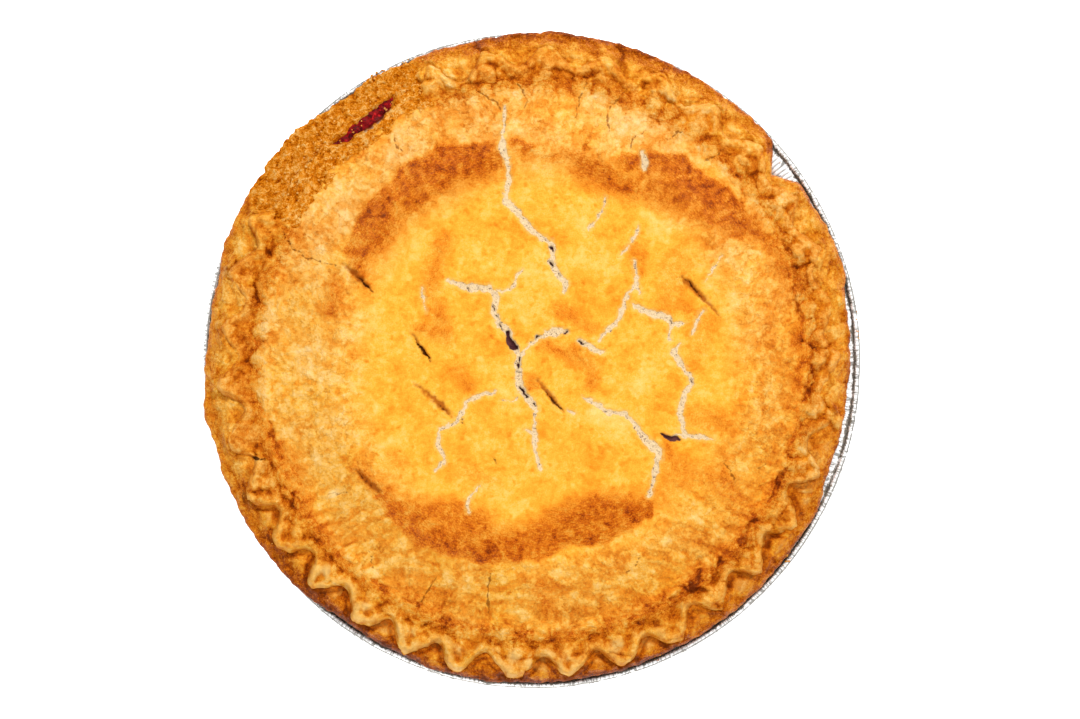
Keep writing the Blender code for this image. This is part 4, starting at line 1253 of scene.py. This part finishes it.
# The glossy arcs are redder, and the crimped edge is duller and browner.
GLAZE = ((0, (276, 220, 130)), (0.36, (272, 190, 70)), (0.52, (268, 164, 44)), (0.66, (258, 138, 24)),
         (0.8, (232, 106, 10)), (0.92, (196, 76, 4)), (1.06, (136, 44, 2)))
RIM_CRUST = ((0, (268, 226, 146)), (0.18, (262, 207, 110)), (0.36, (254, 180, 62)), (0.52, (240, 149, 34)),
             (0.66, (222, 122, 20)), (0.8, (194, 93, 8)), (0.92, (158, 66, 3)), (1.06, (112, 40, 2)))
RIM_PEACH = ((0, (266, 228, 168)), (0.25, (260, 202, 122)), (0.45, (250, 174, 80)),
             (0.62, (232, 140, 44)), (0.8, (200, 99, 16)), (1.06, (122, 46, 4)))
PEACH_CRUST = ((0, (266, 230, 170)), (0.25, (264, 207, 124)), (0.45, (256, 179, 82)),
               (0.62, (238, 144, 44)), (0.8, (208, 103, 16)), (1.06, (128, 48, 6)))
CRUMB = ((0, (112, 40, 0)), (0.22, (192, 86, 2)), (0.44, (250, 134, 12)), (0.66, (276, 174, 42)),
         (1, (296, 236, 140)))
TAN, LIGHT_TAN = (232, 160, 62), (248, 196, 114)
# The crease colour is partly browning and partly painted shade, under the crimps' tips and along their foot.
CREASE, CREVICE = (138, 62, 8), (140, 70, 12)
INSIDE, INSIDE_GREY, INSIDE_HALO = (292, 258, 204), (254, 212, 168), (253, 214, 120)
DARK_FRUIT = (104, 58, 64)
LILAC_DOUGH, JUICE_WALL = (204, 160, 132), (128, 34, 20)
SLASH, SLIT = (186, 92, 22), (80, 38, 14)
# Foil colours: the wall's is a darker copy of the bright foil, which is painted shade, and the second line
# holds painted shade for the rib valleys, the pleats and the dark band beside the bead.
FOIL_BRIGHT, FOIL_DULL, FOIL_WALL_SHADE = (252, 251, 250), (238, 236, 233), (188, 189, 192)
FOIL_SHADE, FOIL_BAND_SHADE, FOIL_BAND_DARK = (126, 122, 115), (120, 110, 94), (50, 44, 35)
FRUIT_DARK, FRUIT_RED, FRUIT_BLACK = (138, 10, 18), (214, 30, 38), (74, 8, 14)


def pastry_material(name):
    """Baked pastry. The masks say how baked it is, where shade is painted on it, and where it is cracked,
    torn or crimped.
    """
    s = Shader(name)
    mottle = s.noise(3, 3, 0.6) - 0.5
    fine = s.noise(1.2, 4, 0.65) - 0.5
    grain = s.noise(0.5, 3, 0.6) - 0.5
    mottled = mottle + (fine * 0.9 + grain * 0.35)
    flaky, brown, rim, side = [s.attribute(key) for key in ("flaky", "brown", "rim", "side")]
    browned = s.math("MINIMUM", brown, 1)
    streaks = s.stretched(s.place, 1.7 * MM, s.polar()[1], 0.6, 4, 0.66) - 0.5
    small_flake = s.noise(2.2, 5, 0.68)
    large_flake = s.noise(5.5, 6, 0.66)
    gaps = s.step(small_flake, 0.44, 0.56, 0.5, -0.5)
    wide_gaps = s.step(large_flake, 0.46, 0.53, 0.5, -0.5)
    seam = s.step(abs(large_flake - 0.495), 0.016, 0.002) * s.step(s.noise(9, 2), 0.42, 0.58)
    thin_seam = s.step(abs(small_flake - 0.5), 0.03, 0.004)

    sharp = (fine * 0.34 + grain * 0.34) * (1 + rim * 0.8)
    bake_and_shade = s.attribute("bake_and_shade") + (mottle * 0.2 + sharp)
    bake_and_shade += (gaps * 0.09 + wide_gaps * 0.08 + thin_seam * 0.05 + seam * 0.13) * flaky
    bake_and_shade += (streaks + grain * 0.6) * brown * 0.85
    # Pale specks in the browned arcs: painted glints.
    bake_and_shade += s.step(streaks + fine * 0.5, 0.11, 0.2) * (brown * -0.3)
    colour = s.blend(browned, s.ramp(bake_and_shade, CRUST), s.ramp(bake_and_shade, GLAZE))
    colour = s.blend(rim, colour, s.ramp(bake_and_shade, RIM_CRUST))
    peach = s.blend(rim, s.ramp(bake_and_shade, PEACH_CRUST), s.ramp(bake_and_shade, RIM_PEACH))
    colour = s.blend(s.attribute("peach"), colour, peach)
    tan = s.blend(s.step(bake_and_shade + fine * 0.3, 0.75, 0.45), TAN, LIGHT_TAN)
    colour = s.blend(s.mark("tan", mottled * 0.7, 0.15, 0.95, 0.85), colour, tan)
    # Creases, with the painted shadow under the crimps' tips and along their foot, take the crease colour.
    crease = s.mark("crease", mottled * 0.5, 0.15, 1, 0.85)
    colour = s.blend(crease, colour, CREASE)
    hair = s.mark("hair", fine * 0.9, 0.3, -0.05, 0.75)
    colour = s.blend(hair, colour, CREVICE)

    torn = s.mark("torn", mottled * 0.55, 0.3, 0.7)
    flecks = s.noise(1.4, 5, 0.78, 0.8) - 0.5
    crumb = s.attribute("crumb") + (flecks * 2.15 + grain * 0.75)
    colour = s.blend(torn, colour, s.ramp(crumb, CRUMB))
    halo = s.mark("crack", fine * 0.9, 1.3, 0.1, 0.45)
    colour = s.blend(halo, colour, INSIDE_HALO)
    crack = s.mark("crack", fine * 0.9, 0.22, -0.12)
    inside = s.blend(s.step(grain + fine * 0.9, 0.02, -0.22), INSIDE, INSIDE_GREY)
    inside = s.blend(s.step(grain + fine, -0.15, -0.28, 0, 0.9), inside, DARK_FRUIT)
    colour = s.blend(crack, colour, inside)
    stain = s.mark("stain", mottled * 0.7, 0.3, 0.8, 0.9)
    colour = s.blend(stain, colour, s.blend(side, LILAC_DOUGH, JUICE_WALL))
    colour = s.blend(s.mark("hole", fine * 0.8, 0.12, -0.12), colour, DARK_FRUIT)
    slash = s.mark("slash", mottled * 1.2, 0.55, -0.75, 0.9)
    colour = s.blend(slash, colour, SLASH)
    slit = s.mark("slit", fine * 0.7, 0.15, -0.25, 0.95)
    colour = s.blend(slit, colour, SLIT)

    bare = s.most(torn, crack)
    gloss = s.step(bake_and_shade, 0.35, 0.85, 0.46, 0.28) + browned * -0.12
    dull = s.most(slash, slit, hair, halo, side, torn, crease)
    level = s.step(brown, 0.1, 0.9, 0.2, 0.4) * s.step(dull, 0, 1, 1, 0.1) * s.step(rim, 0, 1, 1, 0.45)
    s.surface(Base_Color=colour, Roughness=s.most(gloss, bare * 0.9), Specular_IOR_Level=level,
              Specular_Tint=(1, 0.62, 0.18, 1))
    relief = (fine * 0.5 + grain * 0.35) + (gaps * -0.15 + (wide_gaps * -0.16 + seam * -0.08)) * flaky
    relief += streaks * brown * -1.8
    s.bump(relief + bare * (grain + fine * 0.6) * 1.3, 0.8)
    return s.material


def foil_material():
    """Bright pressed foil, with painted shade: a ragged dark band beside the bead, a darker wall, and thin
    dark lines in the rib valleys, along the pleats across the bead and at its outer edge.
    """
    s = Shader("pressed_foil")
    wrinkle = s.noise(2.2, 4, 0.6)
    smear = s.noise(9, 3, 0.5)
    upper, band_radius = s.attribute("band_shade"), s.attribute("band_radius")
    direction, radius = s.polar()
    ragged = (s.noise(0.9, 4, 0.75) - 0.5) * 3 + (smear - 0.5) * 1.4
    off = abs(radius - band_radius + ragged) + (band_radius - SHADE_BAND_RADIUS) * 0.35
    # A ragged dark band beside the bead: painted shadow.
    band_shade = s.step(off + (s.noise(5) - 0.5) * 2.2, 0.6, 0.46, 0, 0.95) * upper
    # Thin dark lines across the bead's pleats, at its outer edge and in the rib valleys: painted shade.
    pleat = s.step(s.stretched(direction, 0.9 / PAN_RADIUS, radius, 2.5, 2, 0.5), 0.55, 0.6, 0, 0.85)
    rim_off = abs(radius + (0.55 - PAN_RADIUS) + (smear - 0.5) * 0.8)
    bead_edge_shade = s.step(rim_off, 0.3, 0.16, 0, 0.95) * s.step(wrinkle, 0.34, 0.44)
    bright = s.blend(s.step(smear, 0.35, 0.7), FOIL_BRIGHT, FOIL_DULL, 1)
    # Below the flange the foil is a darker copy: painted shade.
    bright = s.blend(s.step(upper, 0, 1), FOIL_WALL_SHADE, bright, 1)
    uneven = (wrinkle - 0.5) * s.step(upper, 0, 1, 0.05, 0.5)
    lines = s.most(s.mark("valley", uneven, 0.45, 1.05, 0.75), pleat, bead_edge_shade)
    bright = s.blend(lines, bright, FOIL_SHADE, 1)
    band_shade_colour = s.blend(s.step(s.noise(0.7, 3, 0.7), 0.42, 0.6), FOIL_BAND_SHADE, FOIL_BAND_DARK, 1)
    s.surface(Base_Color=s.blend(band_shade, bright, band_shade_colour, 1),
              Metallic=s.step(band_shade, 0, 1, 1, 0.45) * s.step(upper, 0, 1, 0.95, 0.55),
              Roughness=s.step(smear, 0.2, 0.8, 0.22, 0.36) + band_shade * 0.3)
    s.bump(wrinkle, 0.1, 0.5)
    return s.material


def fruit_material():
    s = Shader("cherry_filling")
    mottle = s.noise(1.6, 4, 0.62)
    fine = s.noise(0.8, 3, 0.6)
    colour = s.blend(s.step(mottle, 0.56, 0.66), FRUIT_DARK, FRUIT_RED)
    colour = s.blend(s.step(mottle + (fine - 0.5) * 0.6, 0.52, 0.4), colour, FRUIT_BLACK)
    s.surface(Base_Color=colour, Roughness=s.step(fine, 0.3, 0.7, 0.36, 0.6), Specular_IOR_Level=0.2,
              Specular_Tint=(1, 0.3, 0.25, 1))
    s.bump(fine, 0.35, 0.6)
    return s.material


# ---- The pie ------------------------------------------------------------------------------
pastry = pastry_material("glazed_pastry")
under_pastry = pastry_material("bottom_pastry")
fruit = fruit_material()
make_lid(pastry)
make_crimped_edge(pastry)
make_bottom_crust(under_pastry)
make_pan(foil_material())
make_slot_fruit(fruit)
make_crumbs(under_pastry)
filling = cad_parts["filling"]
filling.data.materials.clear()
filling.data.materials.append(fruit)


# ---- Stage, light and camera --------------------------------------------------------------
FLOOR_HALF = 4  # metres
LAMP_DISTANCE = 1.3  # metres
VIEW_WIDTH = 375.4  # across the frame at the height of the bead
VIEW_X, VIEW_Y = 2.4, 0.5  # the middle of the frame


def add(name, data, location=(0, 0, 0), turn=(0, 0, 0)):
    thing = bpy.data.objects.new(name, data)
    thing.location = location
    thing.rotation_euler = turn
    bpy.context.scene.collection.objects.link(thing)
    return thing


def make_floor():
    """A pale floor that stays white, with only a faint shadow where the pan stands."""
    mesh = bpy.data.meshes.new("floor")
    corners = [(FLOOR_HALF * x, FLOOR_HALF * y, 0) for x, y in ((-1, -1), (1, -1), (1, 1), (-1, 1))]
    mesh.from_pydata(corners, [], [(0, 1, 2, 3)])
    s = Shader("white_floor")
    s.surface(Base_Color=(0.9, 0.9, 0.9, 1), Roughness=0.9, Specular_IOR_Level=0,
              Emission_Color=(1, 1, 1, 1), Emission_Strength=0.75)
    mesh.materials.append(s.material)
    add("floor", mesh)


def make_world():
    """Soft light from all round, brighter overhead than near the floor."""
    world = bpy.data.worlds.new("studio")
    bpy.context.scene.world = world
    world.use_nodes = True
    nodes, links = world.node_tree.nodes, world.node_tree.links
    split = nodes.new("ShaderNodeSeparateXYZ")
    links.new(nodes.new("ShaderNodeTexCoord").outputs["Generated"], split.inputs[0])
    ramp = nodes.new("ShaderNodeValToRGB")
    for element, position, light in zip(ramp.color_ramp.elements, (0.02, 0.45), (0.22, 1)):
        element.position = position
        element.color = (light, light, light, 1)
    links.new(split.outputs["Z"], ramp.inputs["Fac"])
    links.new(ramp.outputs["Color"], nodes["Background"].inputs["Color"])
    nodes["Background"].inputs["Strength"].default_value = 0.9


def make_light(name, angle, height, size, power):
    """An area light towards this angle, aimed at the pie."""
    lamp = bpy.data.lights.new(name, "AREA")
    lamp.shape = "DISK"
    lamp.size = size
    lamp.energy = power
    x, y = on_circle(LAMP_DISTANCE * math.cos(math.radians(height)), angle)
    add(name, lamp, (float(x), float(y), LAMP_DISTANCE * math.sin(math.radians(height))),
        (math.radians(90 - height), 0, math.radians(angle + 90)))


def make_camera():
    """Straight above, with the pan's rim as wide as in the reference view."""
    data = bpy.data.cameras.new("camera")
    data.lens = 85
    data.sensor_width = 36
    distance = VIEW_WIDTH * data.lens / data.sensor_width
    place = (VIEW_X * MM, VIEW_Y * MM, (distance + BEAD_Z + BEAD_RADIUS) * MM)
    bpy.context.scene.camera = add("camera", data, place)


make_floor()
make_world()
make_light("key", 74, 47, 0.3, 17)
make_light("fill", 262, 38, 0.9, 7)
make_camera()
bpy.context.scene.view_settings.view_transform = "Standard"

bpy.context.view_layer.update()
